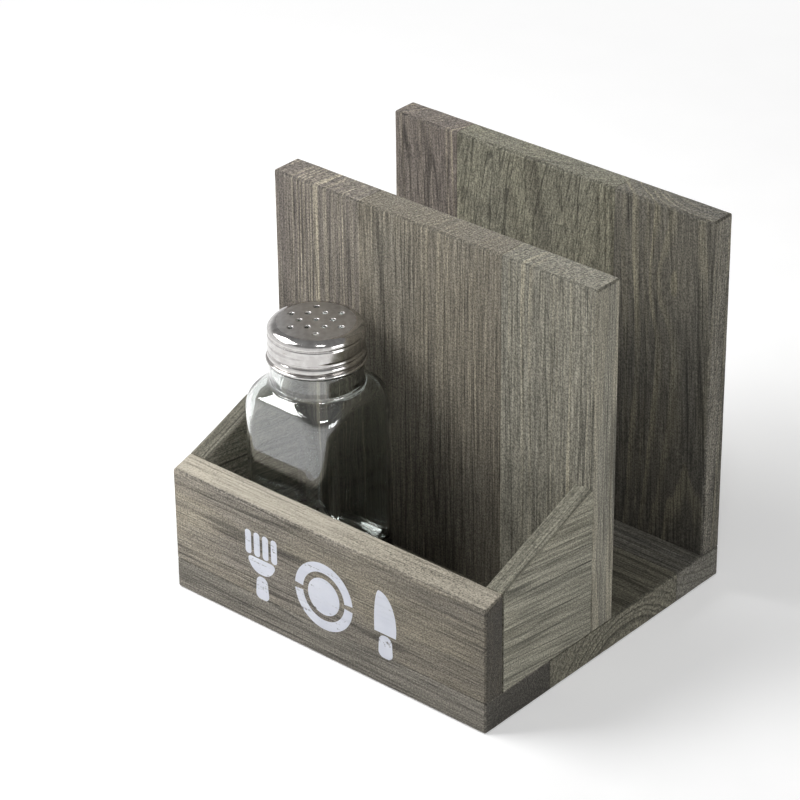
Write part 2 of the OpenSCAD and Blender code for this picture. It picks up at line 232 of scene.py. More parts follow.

# %% [markdown]
# Over the rings lie the things that make old stained wood: fibres drawn out along the grain,
# pores, fine splits, and stain that sank unevenly. Bare ends drink more of it, and a face cut
# at a slant a little more. Each is its own noise, and the pattern is built once, as a node
# group, so that all twelve boards share it and only their settings differ. Worn edges show
# paler wood, where the wear value of the mesh asks for it, and the same value paints the back
# panel's right end paler as painted light. A painted shade slope can also darken a board
# steadily along one direction.

# %% One solid pattern for every board
WOOD_INPUTS = {
    "Vector": ["Place", "Facing", "Knot", "Painted Shade Slope"], "Color": ["Early", "Late", "Stain"],
    "Float": ["Wear And Painted Light", "Seed", "Ring", "Sway", "Contrast", "Streak", "End", "Swirl"],
}
WOOD_OUTPUTS = {"Color": ["Colour"], "Float": ["Roughness", "Height"]}
SEED_STEP = (37.1, 17.3, 91.7)
WOOD_CLOUDS = {
    "streak": (0.75, 0.011, 3.0), "fibre": (2.0, 0.06, 3.0), "pore": (1.5, 0.028, 2.0),
    "blotch": (0.035, 0.014, 3.0), "speck": (1.9, 1.5, 3.0), "mottle": (1.0, 0.1, 3.0),
    "split": (0.13, 0.0035, 1.0),
}
SLANT_CUT = (0.3, 0.42)
END_CUT = (0.8, 0.95)
SLANT_DARK = 0.66
STAIN_GREYS = 0.72
# Pale bare wood for worn edges, also painted light on the back panel's right end
WORN_AND_LIT_WOOD = tone("#bbb4a4")[:3]
PALE_MOST = 0.65


def make_wood_group():
    tree = bpy.data.node_groups.new("stained softwood", "ShaderNodeTree")
    for way, sockets in (("INPUT", WOOD_INPUTS), ("OUTPUT", WOOD_OUTPUTS)):
        for kind, names in sockets.items():
            for name in names:
                tree.interface.new_socket(name, in_out=way, socket_type="NodeSocket" + kind)
    given = tree.nodes.new("NodeGroupInput").outputs
    result = tree.nodes.new("NodeGroupOutput").inputs

    seeded = vector(tree, "ADD", given["Place"], vector(tree, "SCALE", SEED_STEP, given["Seed"]))
    season = growth_rings(tree, given, seeded)
    streak, fibre, pore, blotch, speck, mottle, split = (
        stretched_noise(tree, seeded, *setting) for setting in WOOD_CLOUDS.values())
    pore = ramp(tree, pore, 0.56, 0.68)
    split = calc(tree, "ABSOLUTE", calc(tree, "SUBTRACT", split, 0.5))
    split = times(tree, ramp(tree, split, 0.004, 0.02, 1.0, 0.0), ramp(tree, blotch, 0.4, 0.55))

    # Colour: rings and streaks choose between early and late wood, and blotches add stain
    line = times(tree, calc(tree, "SUBTRACT", streak, 0.5), given["Streak"])
    line = calc(tree, "ADD", times(tree, season, given["Contrast"]), line, clamp=True)
    colour = mix_colour(tree, line, given["Early"], given["Late"])
    colour = mix_colour(tree, ramp(tree, blotch, 0.38, 0.68, 0.0, 0.75), colour, given["Stain"])

    # Light and dark: one way on long grain, another on the ends
    cut = calc(tree, "ABSOLUTE", node(tree, "SeparateXYZ", {0: given["Facing"]}).outputs["Z"])
    on_end = ramp(tree, cut, *END_CUT)
    long_light = ramp(tree, fibre, 0.22, 0.78, 0.58, 1.42)
    for factor in (ramp(tree, cut, *SLANT_CUT, 1.0, SLANT_DARK), ramp(tree, pore, 0.0, 1.0, 1.0, 0.62),
                   ramp(tree, speck, 0.28, 0.72, 0.52, 1.48), ramp(tree, split, 0.0, 1.0, 1.0, 0.55)):
        long_light = times(tree, long_light, factor)
    end_light = times(tree, ramp(tree, speck, 0.38, 0.62, 0.55, 1.45), given["End"])
    end_light = times(tree, end_light, ramp(tree, mottle, 0.3, 0.7, 0.72, 1.28))
    light = calc(tree, "MULTIPLY_ADD", calc(tree, "SUBTRACT", end_light, long_light), on_end, long_light)
    # Painted shade: a slope that darkens the colour steadily along one direction of the board
    painted_shade_slope = vector(tree, "DOT_PRODUCT", given["Place"], given["Painted Shade Slope"])
    colour = vector(tree, "SCALE", colour, times(tree, light, plus(tree, painted_shade_slope, 1.0)))
    colour = node(tree, "HueSaturation", {"Saturation": STAIN_GREYS, "Color": colour}).outputs[0]

    # Wear, and painted light on one end: specks and blotches decide where the wood turns pale
    rubbed_and_lit = plus(tree, given["Wear And Painted Light"], times(tree, calc(tree, "SUBTRACT", speck, 0.5), 0.9))
    rubbed_and_lit = plus(tree, rubbed_and_lit, calc(tree, "SUBTRACT", blotch, 0.5))
    rubbed_and_lit = ramp(tree, rubbed_and_lit, 0.45, 0.95, 0.0, PALE_MOST)
    bare = ramp(tree, plus(tree, fibre, times(tree, season, -0.25)), 0.15, 0.6, 0.62, 1.12)
    bare = vector(tree, "SCALE", WORN_AND_LIT_WOOD, bare)
    tree.links.new(mix_colour(tree, rubbed_and_lit, colour, bare), result["Colour"])

    tree.links.new(ramp(tree, fibre, 0.2, 0.8, 0.8, 0.62), result["Roughness"])
    height = plus(tree, times(tree, season, 0.45), times(tree, fibre, 0.55))
    height = calc(tree, "SUBTRACT", height, times(tree, plus(tree, pore, split), 0.6))
    height = plus(tree, height, times(tree, times(tree, speck, on_end), 0.6))
    tree.links.new(height, result["Height"])
    return tree


WOOD = make_wood_group()
print("wood pattern nodes:", len(WOOD.nodes))

# %% [markdown]
# Each board was cut from its own part of the tree, so each gets its own material: which way
# its grain runs, where the pith lay, how wide the rings are and how the stain took. The
# Mapping node scales metres to millimetres, turns the grain to the pattern's Z axis and moves
# the pith to the axis. On a cheek's slanted top the lines run down the slope, so the pattern
# is turned once more there. The wear value comes from the mesh, where each board stores it;
# on the back panel's right end it is painted light.

# %% A board's own material
GRAIN_UPRIGHT = (0, 0, 0)
GRAIN_ACROSS = (0, math.radians(-90), 0)
GRAIN_CHEEK = (math.radians(98), 0, 0)
GRAIN_SLOPE = (math.radians(69.2), 0, 0)
BUMP_DEPTH = 0.22 * MM
WOOD_GLOSS = 0.28


# One setting paints shade: a slope that darkens the colour steadily along one direction
def stained_board(name, seed, turn, pith, ring, tones, contrast=0.95, streak=0.7, sway=9.0, end=0.9,
                  knot=(0, 0, -900), swirl=0.0, painted_shade_slope=(0, 0, 0), slope_turn=None):
    material, tree = new_material(name)
    here = node(tree, "TexCoord").outputs
    origin = (*pith, 0)
    place = place_in_mm(tree, here["Object"], origin, turn)
    sockets = {"Vector": here["Normal"], "Rotation": turn}
    facing = node(tree, "Mapping", sockets, vector_type="VECTOR").outputs[0]
    if slope_turn:
        sloped = place_in_mm(tree, here["Object"], origin, slope_turn)
        cut = calc(tree, "ABSOLUTE", node(tree, "SeparateXYZ", {0: facing}).outputs["Z"])
        sockets = {0: ramp(tree, cut, *SLANT_CUT), 4: place, 5: sloped}
        place = node(tree, "Mix", sockets, data_type="VECTOR").outputs[1]
    early, late, stain = (tone(code) for code in tones.split())
    wood = node(tree, "Group", {
        "Place": place, "Facing": facing, "Seed": seed, "Ring": ring, "Sway": sway,
        "Wear And Painted Light": node(tree, "Attribute", attribute_name="wear").outputs["Fac"],
        "Contrast": contrast, "Streak": streak, "End": end, "Swirl": swirl, "Painted Shade Slope": painted_shade_slope,
        "Knot": (knot[0] - pith[0], knot[1] - pith[1], knot[2]),
        "Early": early, "Late": late, "Stain": stain,
    }, node_tree=WOOD).outputs
    shade(tree, {"Base Color": wood["Colour"], "Roughness": wood["Roughness"],
                 "Normal": bump(tree, 0.8, BUMP_DEPTH, wood["Height"]), "Specular IOR Level": WOOD_GLOSS})
    return material


print("a board's pattern takes", sum(map(len, WOOD_INPUTS.values())), "settings")

# %% [markdown]
# The photograph shows which stave is which: striped cream and purple-brown at the divider's
# left, olive in its middle, pale grey at its right, redder and darker wood in the back panel,
# a front board with long level lines, and cheeks with dark lines that fall to the rear. Some
# of that darkness is painted shade: the back panel's right stave has tones darkened for the
# shade of the napkin slot, and a painted shade slope darkens it and the divider's middle stave
# towards their feet, and the front board towards its right end, where the key light falls
# off. Each row says how the grain runs, where the pith lay, how wide a ring is, the three
# colours of early wood, late wood and stain, and what else is this board's own.

# %% The twelve boards' materials
BACK_LEFT_LEAN = (math.radians(1.5), math.radians(2), 0)
BACK_MIDDLE_LEAN = (math.radians(6), math.radians(-8), 0)
BACK_RIGHT_LEAN = (math.radians(1), math.radians(2), 0)
BOARD_WOODS = {
    "base_stave_front": (GRAIN_ACROSS, (34, -52), 2.6, "#7f796c #635d52 #878073",
                         dict(contrast=0.6, end=0.3)),
    "base_stave_middle": (GRAIN_ACROSS, (26, 12), 2.4, "#706c59 #454235 #5b5748", dict(end=1.2)),
    "base_stave_rear": (GRAIN_ACROSS, (-40, 60), 2.2, "#6d6a60 #4b483e #5a574c", dict(end=1.3)),
    "divider_stave_left": (GRAIN_UPRIGHT, (-190, 12), 2.5, "#6d645b #aca084 #7b7466",
                           dict(streak=0.9, sway=5.0, end=1.05)),
    # Painted shade: a slope in z darkens this stave towards its foot, in the tray's shade
    "divider_stave_middle": (
        GRAIN_UPRIGHT, (-120, 30), 1.7, "#554f42 #6f6753 #5d584c",
        dict(contrast=0.6, streak=0.5, sway=7.0, end=0.95, painted_shade_slope=(0, 0, 0.0074))),
    "divider_stave_right": (GRAIN_UPRIGHT, (190, -20), 2.6, "#7f7b6b #a59c80 #888473",
                            dict(contrast=0.75, streak=0.5, sway=5.0, end=1.0)),
    "back_stave_left": (BACK_LEFT_LEAN, (-110, 80), 3.2, "#71665c #a39579 #6c6258",
                        dict(contrast=0.9, sway=7.0, end=1.0)),
    "back_stave_middle": (BACK_MIDDLE_LEAN, (-40, 100), 2.6, "#87836a #5c5745 #7b7865",
                          dict(sway=14.0, end=0.95)),
    # Painted shade: tones darkened for the napkin slot's shade, and a slope darkens its foot
    "back_stave_right": (
        BACK_RIGHT_LEAN, (64, 86), 2.3, "#504c41 #6a644f #47453e",
        dict(end=0.95, knot=(52, 53, 112), swirl=-2.5, painted_shade_slope=(0, 0, 0.0062))),
    # Painted shade: a slope darkens this board towards its right end, as the key light falls off
    "front_board": (
        GRAIN_ACROSS, (-30, -170), 2.8, "#877e6c #a4987b #7b746a",
        dict(contrast=0.7, streak=1.6, sway=7.0, end=0.32, painted_shade_slope=(0, 0, -0.0034))),
    "left_cheek": (GRAIN_CHEEK, (-40, -110), 3.2, "#8b8671 #645f4c #807d6d",
                   dict(slope_turn=GRAIN_SLOPE)),
    "right_cheek": (GRAIN_CHEEK, (40, -120), 3.4, "#938f79 #625e4b #868371",
                    dict(slope_turn=GRAIN_SLOPE)),
}
BOARDS = {}
for seed, (name, (turn, pith, ring, tones, own)) in enumerate(BOARD_WOODS.items(), 1):
    label = name.replace("_stave", "").replace("_", " ") + " wood"
    BOARDS[name] = stained_board(label, float(seed), turn, pith, ring, tones, **own)
print("board materials:", len(BOARDS))

# %% [markdown]
# New meshes share a few steps: turn a bmesh into an object that rides on its body, shade it
# smooth but keep hard corners, cut one mesh out of another, join two, turn some verts, and
# copy the separate solids that one node of the frame holds.

# %% Helpers for pieces
HARD_CORNER = math.radians(38)


def soft_shade(bm):
    for face in bm.faces:
        face.smooth = True
    for edge in bm.edges:
        edge.smooth = edge.calc_face_angle(0) < HARD_CORNER


def new_object(name, bm):
    mesh = bpy.data.meshes.new(name)
    bm.to_mesh(mesh)
    bm.free()
    made = bpy.data.objects.new(name, mesh)
    bpy.context.collection.objects.link(made)
    return made


def finish_piece(piece, body, slot, material, *nodes):
    piece.data.materials.clear()
    piece.data.materials.append(material)
    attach(piece, body)
    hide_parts(*nodes)
    print(piece.name, "faces:", len(piece.data.polygons))


def turn_verts(bm, verts, angle, axis="Z"):
    bmesh.ops.rotate(bm, cent=(0, 0, 0), matrix=Matrix.Rotation(angle, 3, axis), verts=verts)


def slice_through(bm, place, normal, near, keep_both=True):
    everything = bm.verts[:] + bm.edges[:] + bm.faces[:]
    bmesh.ops.bisect_plane(bm, geom=everything, dist=near, plane_co=place, plane_no=normal,
                           clear_outer=not keep_both)


def span(bm):
    low = Vector([min(v.co[i] for v in bm.verts) for i in range(3)])
    high = Vector([max(v.co[i] for v in bm.verts) for i in range(3)])
    return low, high


def add_to(bm, part):
    """Joins the bmesh part into bm and frees it."""
    mesh = bpy.data.meshes.new("part")
    part.to_mesh(mesh)
    part.free()
    bm.from_mesh(mesh)
    bpy.data.meshes.remove(mesh)


def carve(piece, cutter_bm):
    """Takes the cutter's shape out of the piece and shades the result."""
    cutter = new_object("cutter", cutter_bm)
    cut = piece.modifiers.new("cut", "BOOLEAN")
    cut.object = cutter
    cut.solver = "EXACT"
    graph = bpy.context.evaluated_depsgraph_get()
    result = bpy.data.meshes.new_from_object(piece.evaluated_get(graph))
    piece.modifiers.remove(cut)
    piece.data = result
    bpy.data.objects.remove(cutter)
    bm = bmesh.new()
    bm.from_mesh(result)
    soft_shade(bm)
    bm.to_mesh(result)
    bm.free()


def solids_of(name):
    """The separate solids of one node in a fixed order, each a bmesh with merged corners."""
    bm = bmesh.new()
    bm.from_mesh(NODES[name].data)
    bmesh.ops.remove_doubles(bm, verts=bm.verts, dist=0.002 * MM)
    bm.verts.index_update()
    left = set(bm.verts)
    found = []
    while left:
        reached, ahead = set(), [min(left, key=lambda corner: corner.index)]
        while ahead:
            vert = ahead.pop()
            reached.add(vert)
            ahead += [e.other_vert(vert) for e in vert.link_edges if e.other_vert(vert) not in reached]
        left -= reached
        solid = bm.copy()
        keep = {v.index for v in reached}
        bmesh.ops.delete(solid, geom=[v for v in solid.verts if v.index not in keep], context="VERTS")
        found.append(solid)
    bm.free()
    return found


print("fasteners:", {n: len(solids_of(n)) for n in ("base_screws", "base_brads", "cheek_brads")})

# %% [markdown]
# A board leaves the saw with sharp edges, and sanding rounds the ones that a hand can reach,
# while the edges inside a glued seam stay sharp. The cube operator gives the sawn block, and
# the bevel operator sands it: wide on free edges and hair-thin along the seams, which leaves
# the fine line that shows between two staves. Then the block is sliced into a net, so that
# every corner of the net can store how near it lies to a free edge, and the worn edges can be
# pushed in a little by noise. A plain bevel alone would leave them as straight as plastic.

# %% Sawing and sanding a board
EASE = 0.9 * MM
EASE_STEPS = 4
SEAM_EASE = 0.13 * MM
NET_STEP = 4.0 * MM
RIM_LINES = (1.1 * MM, 2.4 * MM)
# Pale all over: the front board's top, rubbed, and the back panel's right end, painted light
RUBBED_AND_LIT_SIDE = {"front_board": (0, 0, 0.96), "back_stave_right": (0.8, 0, 0)}
SIDES = {"-x": Vector((-1, 0, 0)), "+x": Vector((1, 0, 0)), "-y": Vector((0, -1, 0)),
         "+y": Vector((0, 1, 0)), "-z": Vector((0, 0, -1))}


def on_side(face, sides):
    return any(face.normal.dot(SIDES[s]) > 0.99 for s in sides)


def sand(bm, edges, ease, steps):
    bm.normal_update()
    bmesh.ops.bevel(bm, geom=edges, offset=ease, offset_type="OFFSET", affect="EDGES", segments=steps,
                    profile=0.5, material=-1, clamp_overlap=True)
    bm.normal_update()


def sawn_board(name, glued, slant=None):
    low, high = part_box(name)
    bm = bmesh.new()
    bmesh.ops.create_cube(bm, size=1.0)
    bmesh.ops.scale(bm, vec=high - low, verts=bm.verts)
    bmesh.ops.translate(bm, vec=(low + high) / 2, verts=bm.verts)
    if slant:
        slice_through(bm, *slant, 0.01 * MM, keep_both=False)
        bmesh.ops.holes_fill(bm, edges=[e for e in bm.edges if e.is_boundary], sides=6)
        bmesh.ops.dissolve_degenerate(bm, edges=bm.edges, dist=0.01 * MM)
    bm.normal_update()
    free = [e for e in bm.edges if not any(on_side(f, glued) for f in e.link_faces)]
    worn = [(e.verts[0].co.copy(), e.verts[1].co.copy()) for e in free]
    sand(bm, free, EASE, EASE_STEPS)
    seams = {e for f in bm.faces if on_side(f, glued) for e in f.edges}
    sand(bm, list(seams), SEAM_EASE, 1)
    for axis in range(3):
        normal = Vector([float(i == axis) for i in range(3)])
        length = high[axis] - low[axis]
        steps = max(1, int(length / NET_STEP))
        places = {length * i / steps for i in range(1, steps)}
        places |= set(RIM_LINES) | {length - r for r in RIM_LINES}
        for place in sorted(p for p in places if EASE < p < length - EASE):
            slice_through(bm, low + normal * place, normal, 1e-7)
    wear_edges(bm, worn, Vector(RUBBED_AND_LIT_SIDE.get(name, (0, 0, 0))))
    soft_shade(bm)
    return new_object(name + "_board", bm)


print("free edges are eased by", round(EASE / MM, 2), "mm, seams by", round(SEAM_EASE / MM, 2), "mm")

# %% [markdown]
# Wear is a number on each corner of the net. It is strongest on a free edge and falls to
# nothing a little over a millimetre in, and two sides are paler all over: the front board's
# top, which is rubbed, and the back panel's right end, where the paleness is painted light
# from the right. The same number steers two things, the small push inwards here and the paler
# wood in the material, so that dents and rubbed stain meet. The push only goes inwards, and
# the noise is a fixed function of place, so each run gives the same board.

# %% Wearing the edges
EDGE_WEAR = 0.6
WORN_REACH = 2.0 * MM
RUBBED_AND_LIT_FROM = 0.6
WORN_DEPTH = 0.3 * MM
DENT_PACES = (130, 420)


def distance_to(point, start, end):
    along = end - start
    share = max(0.0, min(1.0, (point - start).dot(along) / along.length_squared))
    return (start + along * share - point).length


def wear_edges(bm, worn, rubbed_and_lit):
    layer = bm.verts.layers.float.new("wear")
    bm.normal_update()
    moves = []
    for vert in bm.verts:
        gap = min((distance_to(vert.co, *edge) for edge in worn), default=1.0)
        # Rubbed on the front board's top, painted light on the back panel's right end
        faced = (vert.normal.dot(rubbed_and_lit) - RUBBED_AND_LIT_FROM) / (1 - RUBBED_AND_LIT_FROM)
        vert[layer] = max(0.0, EDGE_WEAR - gap / WORN_REACH, faced)
        if gap < EASE:
            wide, tight = (noise.noise(vert.co * pace) for pace in DENT_PACES)
            rub = max(0.0, 0.5 + 0.5 * wide + 0.35 * tight)
            moves.append((vert, vert.normal * (-WORN_DEPTH * rub * (1 - gap / EASE))))
    for vert, move in moves:
        vert.co += move
    low, high = CAD_BOX
    for vert in bm.verts:
        vert.co = Vector([min(max(vert.co[i], low[i]), high[i]) for i in range(3)])
    bm.normal_update()


print("wear ends", round(EDGE_WEAR * WORN_REACH / MM, 2), "mm from a free edge")

# %% [markdown]
# Each board is sawn to the box of its node. Which of its sides are glued follows from how the
# caddy is put together: staves side by side, panels and tray boards standing on the base. The
# cheeks' tops slope from the front board up to the divider, and the front board's own top
# falls a little to the front, so these three are cut once more at a slant.

# %% The twelve boards
FRONT_FALL = 2.6 * MM
GLUED = {
    "base_stave_front": ["+y"], "base_stave_middle": ["-y", "+y"], "base_stave_rear": ["-y"],
    "divider_stave_left": ["+x", "-z"], "divider_stave_middle": ["-x", "+x", "-z"],
    "divider_stave_right": ["-x", "-z"],
    "back_stave_left": ["+x", "-z"], "back_stave_middle": ["-x", "+x", "-z"],
    "back_stave_right": ["-x", "-z"],
    "front_board": ["-z"], "left_cheek": ["-z", "-y", "+y"], "right_cheek": ["-z", "-y", "+y"],
}


def slanted(way):
    return slope_start, Vector((0, -way.z, way.y))


front_low, front_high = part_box("front_board")
FRONT_Y = front_low.y
slope_start = Vector((0, front_high.y, front_high.z))
slope_end = Vector((0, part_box("divider_stave_left")[0].y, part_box("right_cheek")[1].z))
rise = (slope_end - slope_start).normalized()
fall = Vector((0, front_high.y - FRONT_Y, FRONT_FALL)).normalized()
SLANTS = {"left_cheek": slanted(rise), "right_cheek": slanted(rise), "front_board": slanted(fall)}
boards = {name: sawn_board(name, glued, SLANTS.get(name)) for name, glued in GLUED.items()}
print("boards:", len(boards), "cheek slope:", round(math.degrees(math.asin(rise.z)), 1), "degrees")

# %% [markdown]
# Screws and brads hold the boards together, driven from below and from the napkin slot, and
# each needs its hole. The frame already has every fastener in place, so the cutter is a copy
# of the fastener, swollen by the room in its hole, with the way of its head drawn out past the
# surface. The Boolean operation then takes it out of each board that it meets.

# %% Drilling the fasteners' holes
HOLE_ROOM = 0.06 * MM
HEAD_WAY = 2.0 * MM
HEAD_FLAT = 0.1 * MM
DRIVEN_FROM = {"base_screws": "-z", "base_brads": "-z", "cheek_brads": "+y"}


def hole_cutter(solid, out_of):
    """A fastener's solid with room round it, and its head drawn out towards out_of."""
    solid.normal_update()
    for vert in solid.verts:
        vert.co += vert.normal * HOLE_ROOM
    reach = max(v.co.dot(out_of) for v in solid.verts)
    head = [f for f in solid.faces if all(v.co.dot(out_of) > reach - HEAD_FLAT for v in f.verts)]
    drawn = bmesh.ops.extrude_face_region(solid, geom=head)
    moved = [g for g in drawn["geom"] if isinstance(g, bmesh.types.BMVert)]
    bmesh.ops.translate(solid, vec=out_of * HEAD_WAY, verts=moved)
    bmesh.ops.delete(solid, geom=head, context="FACES_ONLY")
    return solid


def boxes_meet(first, second):
    return all(first[0][i] < second[1][i] and second[0][i] < first[1][i] for i in range(3))


def drill(name):
    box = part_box(name)
    joined = bmesh.new()
    count = 0
    for group, way in DRIVEN_FROM.items():
        for solid in solids_of(group):
            if boxes_meet(span(solid), box):
                add_to(joined, hole_cutter(solid, SIDES[way]))
                count += 1
    if count:
        carve(boards[name], joined)
    return count


SLOT_OF = {"base": "base_wood", "divider": "panel_wood", "back": "panel_wood"}
for name, board in boards.items():
    holes = drill(name)
    slot = SLOT_OF.get(name.split("_")[0], "tray_wood")
    finish_piece(board, "caddy", slot, BOARDS[name], name)
    print("   holes:", holes)

# %% [markdown]
# The screws are zinc-plated, with a cross recess in the head and a thread along the shank. A
# screw could be one node of the frame with a shiny material, but its plain cone would look
# like a rivet from below. So one screw is spun from its profile, a tapered cross is carved
# into the head, and the thread is an edge that the spin operator lifts while it turns.

# %% One screw
screw_solids = solids_of("base_screws")
screw_low, screw_high = span(screw_solids[0])
SCREW_LENGTH = screw_high.z - screw_low.z
HEAD_RADIUS = (screw_high.x - screw_low.x) / 2
SHANK_RADIUS = 1.5 * MM
CORE_RADIUS = 1.1 * MM
PLAIN_SHANK = 2.5 * MM
THREAD_PITCH = 1.3 * MM
THREAD_FOOT = 0.3 * MM
POINT = 3.0 * MM
RECESS = Vector((3.4, 0.7, 3.0)) * MM


def spun(points, steps, centre=(0, 0, 0)):
    """A solid spun about the Z axis through centre from a profile of radius and height."""
    bm = bmesh.new()
    verts = [bm.verts.new((centre[0] + r, centre[1], centre[2] + z)) for r, z in points]
    edges = [bm.edges.new(pair) for pair in zip(verts, verts[1:])]
    bmesh.ops.spin(bm, geom=verts + edges, cent=centre, axis=(0, 0, 1), angle=2 * math.pi, steps=steps,
                   use_merge=True)
    bmesh.ops.remove_doubles(bm, verts=bm.verts, dist=0.001 * MM)
    bmesh.ops.recalc_face_normals(bm, faces=bm.faces)
    return bm


def screw_thread():
    """One ridge that climbs the shank: a thin wedge lifted along the axis while it turns."""
    bm = bmesh.new()
    start = HEAD_RADIUS + 3 * MM
    turns = (SCREW_LENGTH - POINT - start) / THREAD_PITCH
    root = CORE_RADIUS * 0.95
    corners = [(root, -THREAD_FOOT), (SHANK_RADIUS, 0), (root, THREAD_FOOT)]
    verts = [bm.verts.new((r, 0, start + z)) for r, z in corners]
    edges = [bm.edges.new((verts[i], verts[(i + 1) % 3])) for i in range(3)]
    steps = int(turns * 20)
    bmesh.ops.spin(bm, geom=verts + edges, cent=(0, 0, 0), axis=(0, 0, 1), angle=2 * math.pi * turns,
                   dvec=(0, 0, THREAD_PITCH * turns / steps), steps=steps)
    bmesh.ops.holes_fill(bm, edges=[e for e in bm.edges if e.is_boundary], sides=3)
    bmesh.ops.recalc_face_normals(bm, faces=bm.faces)
    return bm


def cross_recess():
    bm = bmesh.new()
    for turn in (0, math.pi / 2):
        wing = bmesh.ops.create_cube(bm, size=1.0)["verts"]
        bmesh.ops.scale(bm, vec=RECESS, verts=wing)
        bmesh.ops.scale(bm, vec=(0.35, 0.5, 1.0), verts=[v for v in wing if v.co.z > 0])
        turn_verts(bm, wing, turn)
    return bm


def one_screw():
    plain = HEAD_RADIUS + PLAIN_SHANK
    profile = [(0, 0), (HEAD_RADIUS - 0.15 * MM, 0), (HEAD_RADIUS, 0.15 * MM),
               (SHANK_RADIUS, HEAD_RADIUS - SHANK_RADIUS), (SHANK_RADIUS, plain),
               (CORE_RADIUS, plain + 0.4 * MM), (CORE_RADIUS, SCREW_LENGTH - POINT), (0, SCREW_LENGTH)]
    screw = new_object("screw", spun(profile, 40))
    carve(screw, cross_recess())
    bm = bmesh.new()
    bm.from_mesh(screw.data)
    add_to(bm, screw_thread())
    bpy.data.objects.remove(screw)
    return bm


screw = one_screw()
print("a screw is", round(SCREW_LENGTH / MM, 1), "mm long and has", len(screw.faces), "faces")

# %% [markdown]
# The finished screw is copied to the six places that the frame gives, each turned a little
# further, as a driver leaves them. Zinc plate is a metal with a cloudy, finely grained skin.
# The brads are plain pins that show only their heads, so their nodes stay and take the zinc.

# %% Six screws and the zinc
SCREW_TURN = 1.1


def zinc():
    material, tree = new_material("zinc plate")
    here = object_place(tree)
    smoke = cloud(tree, here, 900.0, 3.0)
    shade(tree, {
        "Base Color": mix_colour(tree, ramp(tree, smoke, 0.3, 0.7), tone("#a9a79e"), tone("#cfcdc4")),
        "Roughness": ramp(tree, smoke, 0.2, 0.8, 0.34, 0.5), "Metallic": 1.0,
        "Normal": bump(tree, 0.4, 0.02 * MM, cloud(tree, here, 6000.0, 2.0)),
    })
    return material


pattern = bpy.data.meshes.new("screw pattern")
screw.to_mesh(pattern)
six = bmesh.new()
for count, solid in enumerate(screw_solids):
    low, high = span(solid)
    before = set(six.verts)
    six.from_mesh(pattern)
    fresh = [v for v in six.verts if v not in before]
    turn_verts(six, fresh, count * SCREW_TURN)
    place = Vector(((low.x + high.x) / 2, (low.y + high.y) / 2, low.z))
    bmesh.ops.translate(six, vec=place, verts=fresh)
soft_shade(six)
ZINC = zinc()
finish_piece(new_object("base_screw_set", six), "caddy", "fastener_steel", ZINC, "base_screws")
for name in ("base_brads", "cheek_brads"):
    NODES[name].data.materials.clear()
    NODES[name].data.materials.append(ZINC)

# %% [markdown]
# The shaker's bottle is pressed glass: a square body with rounded corners, shoulders that run
# from square to round, a plain collar, a threaded neck and a thick foot. A cube with bevels
# gives the body but never the shoulder, where a flat face ends in a low arch. So the bottle is
# lofted: one circle of corners is drawn out ring by ring, and each ring is placed on a rounded
# square that a circle trims. The circle shrinks on the way up, until at the collar nothing of
# the square is left. The loft runs from the middle of the foot up the outside, over the rim and
# down the inside to the floor, so the wall has two true surfaces, which real refraction needs.

# %% The shaker's levels and radii
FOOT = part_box("shaker_bottle")[0].z
CAP_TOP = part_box("shaker_cap")[1].z - FOOT
low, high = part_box("shaker_bottle")
AXIS = Vector(((low.x + high.x) / 2, (low.y + high.y) / 2, FOOT))
HALF = (high.x - low.x) / 2
RIM = high.z - FOOT
CORNER = 7.5 * MM
WALL = 2.0 * MM
FLOOR = 5.5 * MM
FLOOR_ROUND = 3.5 * MM
FLOOR_DOME = 0.25 * MM
FOOT_ROUND = 2.2 * MM
FOOT_RING = 4.0 * MM
FOOT_HOLLOW = 0.7 * MM
FACE_TOP = 65.2 * MM
FACE_BEND = 2.0 * MM
LEAST_BEND = 0.4 * MM
FACE_PITCH = math.radians(45)
SHOULDER = 9.0 * MM
SHOULDER_PROUD = 0.4 * MM
PITCH = math.radians(28)
SHOULDER_TOP = 68.8 * MM
COLLAR_RADIUS = 16.05 * MM
COLLAR_TOP = 76.8 * MM
COLLAR_ROOT = 1.5 * MM
COLLAR_EDGE = 0.4 * MM
NECK_RADIUS = 14.65 * MM
NECK_FOOT = 0.2 * MM
BORE_RADIUS = 12.65 * MM
LIP = 0.8 * MM
SIDE_COUNT = 192
NO_TRIM = 1.0
shoulder_axis = (HALF - CORNER) * math.sqrt(2) + CORNER + SHOULDER_PROUD - SHOULDER
shoulder_run = (shoulder_axis + SHOULDER * math.sin(PITCH) - COLLAR_RADIUS) * math.tan(PITCH)
CORNER_TOP = SHOULDER_TOP - shoulder_run - SHOULDER * math.cos(PITCH)
print("bottle half width", round(HALF / MM, 2), "rim at", round(RIM / MM, 2), "corners end at",
      round(CORNER_TOP / MM, 2))

# %% [markdown]
# Three small functions say where the glass lies. The first gives the trimming circle at a
# height: a round shoulder, then a cone. The second gives the square: upright, then a quick bend
# and a slope. The third gives the square's outline in one direction. Where circle and square
# cross, a mould has a soft edge, so the smaller of the two is taken with a rounded step.

# %% The outline of the bottle at any height
EDGE_BLEND = 2.4 * MM


def turned_radius(z, inset):
    """Radius of the turned form that rounds the corners, then runs up to the neck as a cone."""
    round_r = SHOULDER - inset
    up = z - CORNER_TOP
    end = round_r * math.cos(PITCH)
    if up <= 0:
        return shoulder_axis + round_r
    if up <= end:
        return shoulder_axis + math.sqrt(round_r ** 2 - up ** 2)
    return shoulder_axis + round_r * math.sin(PITCH) - (up - end) / math.tan(PITCH)


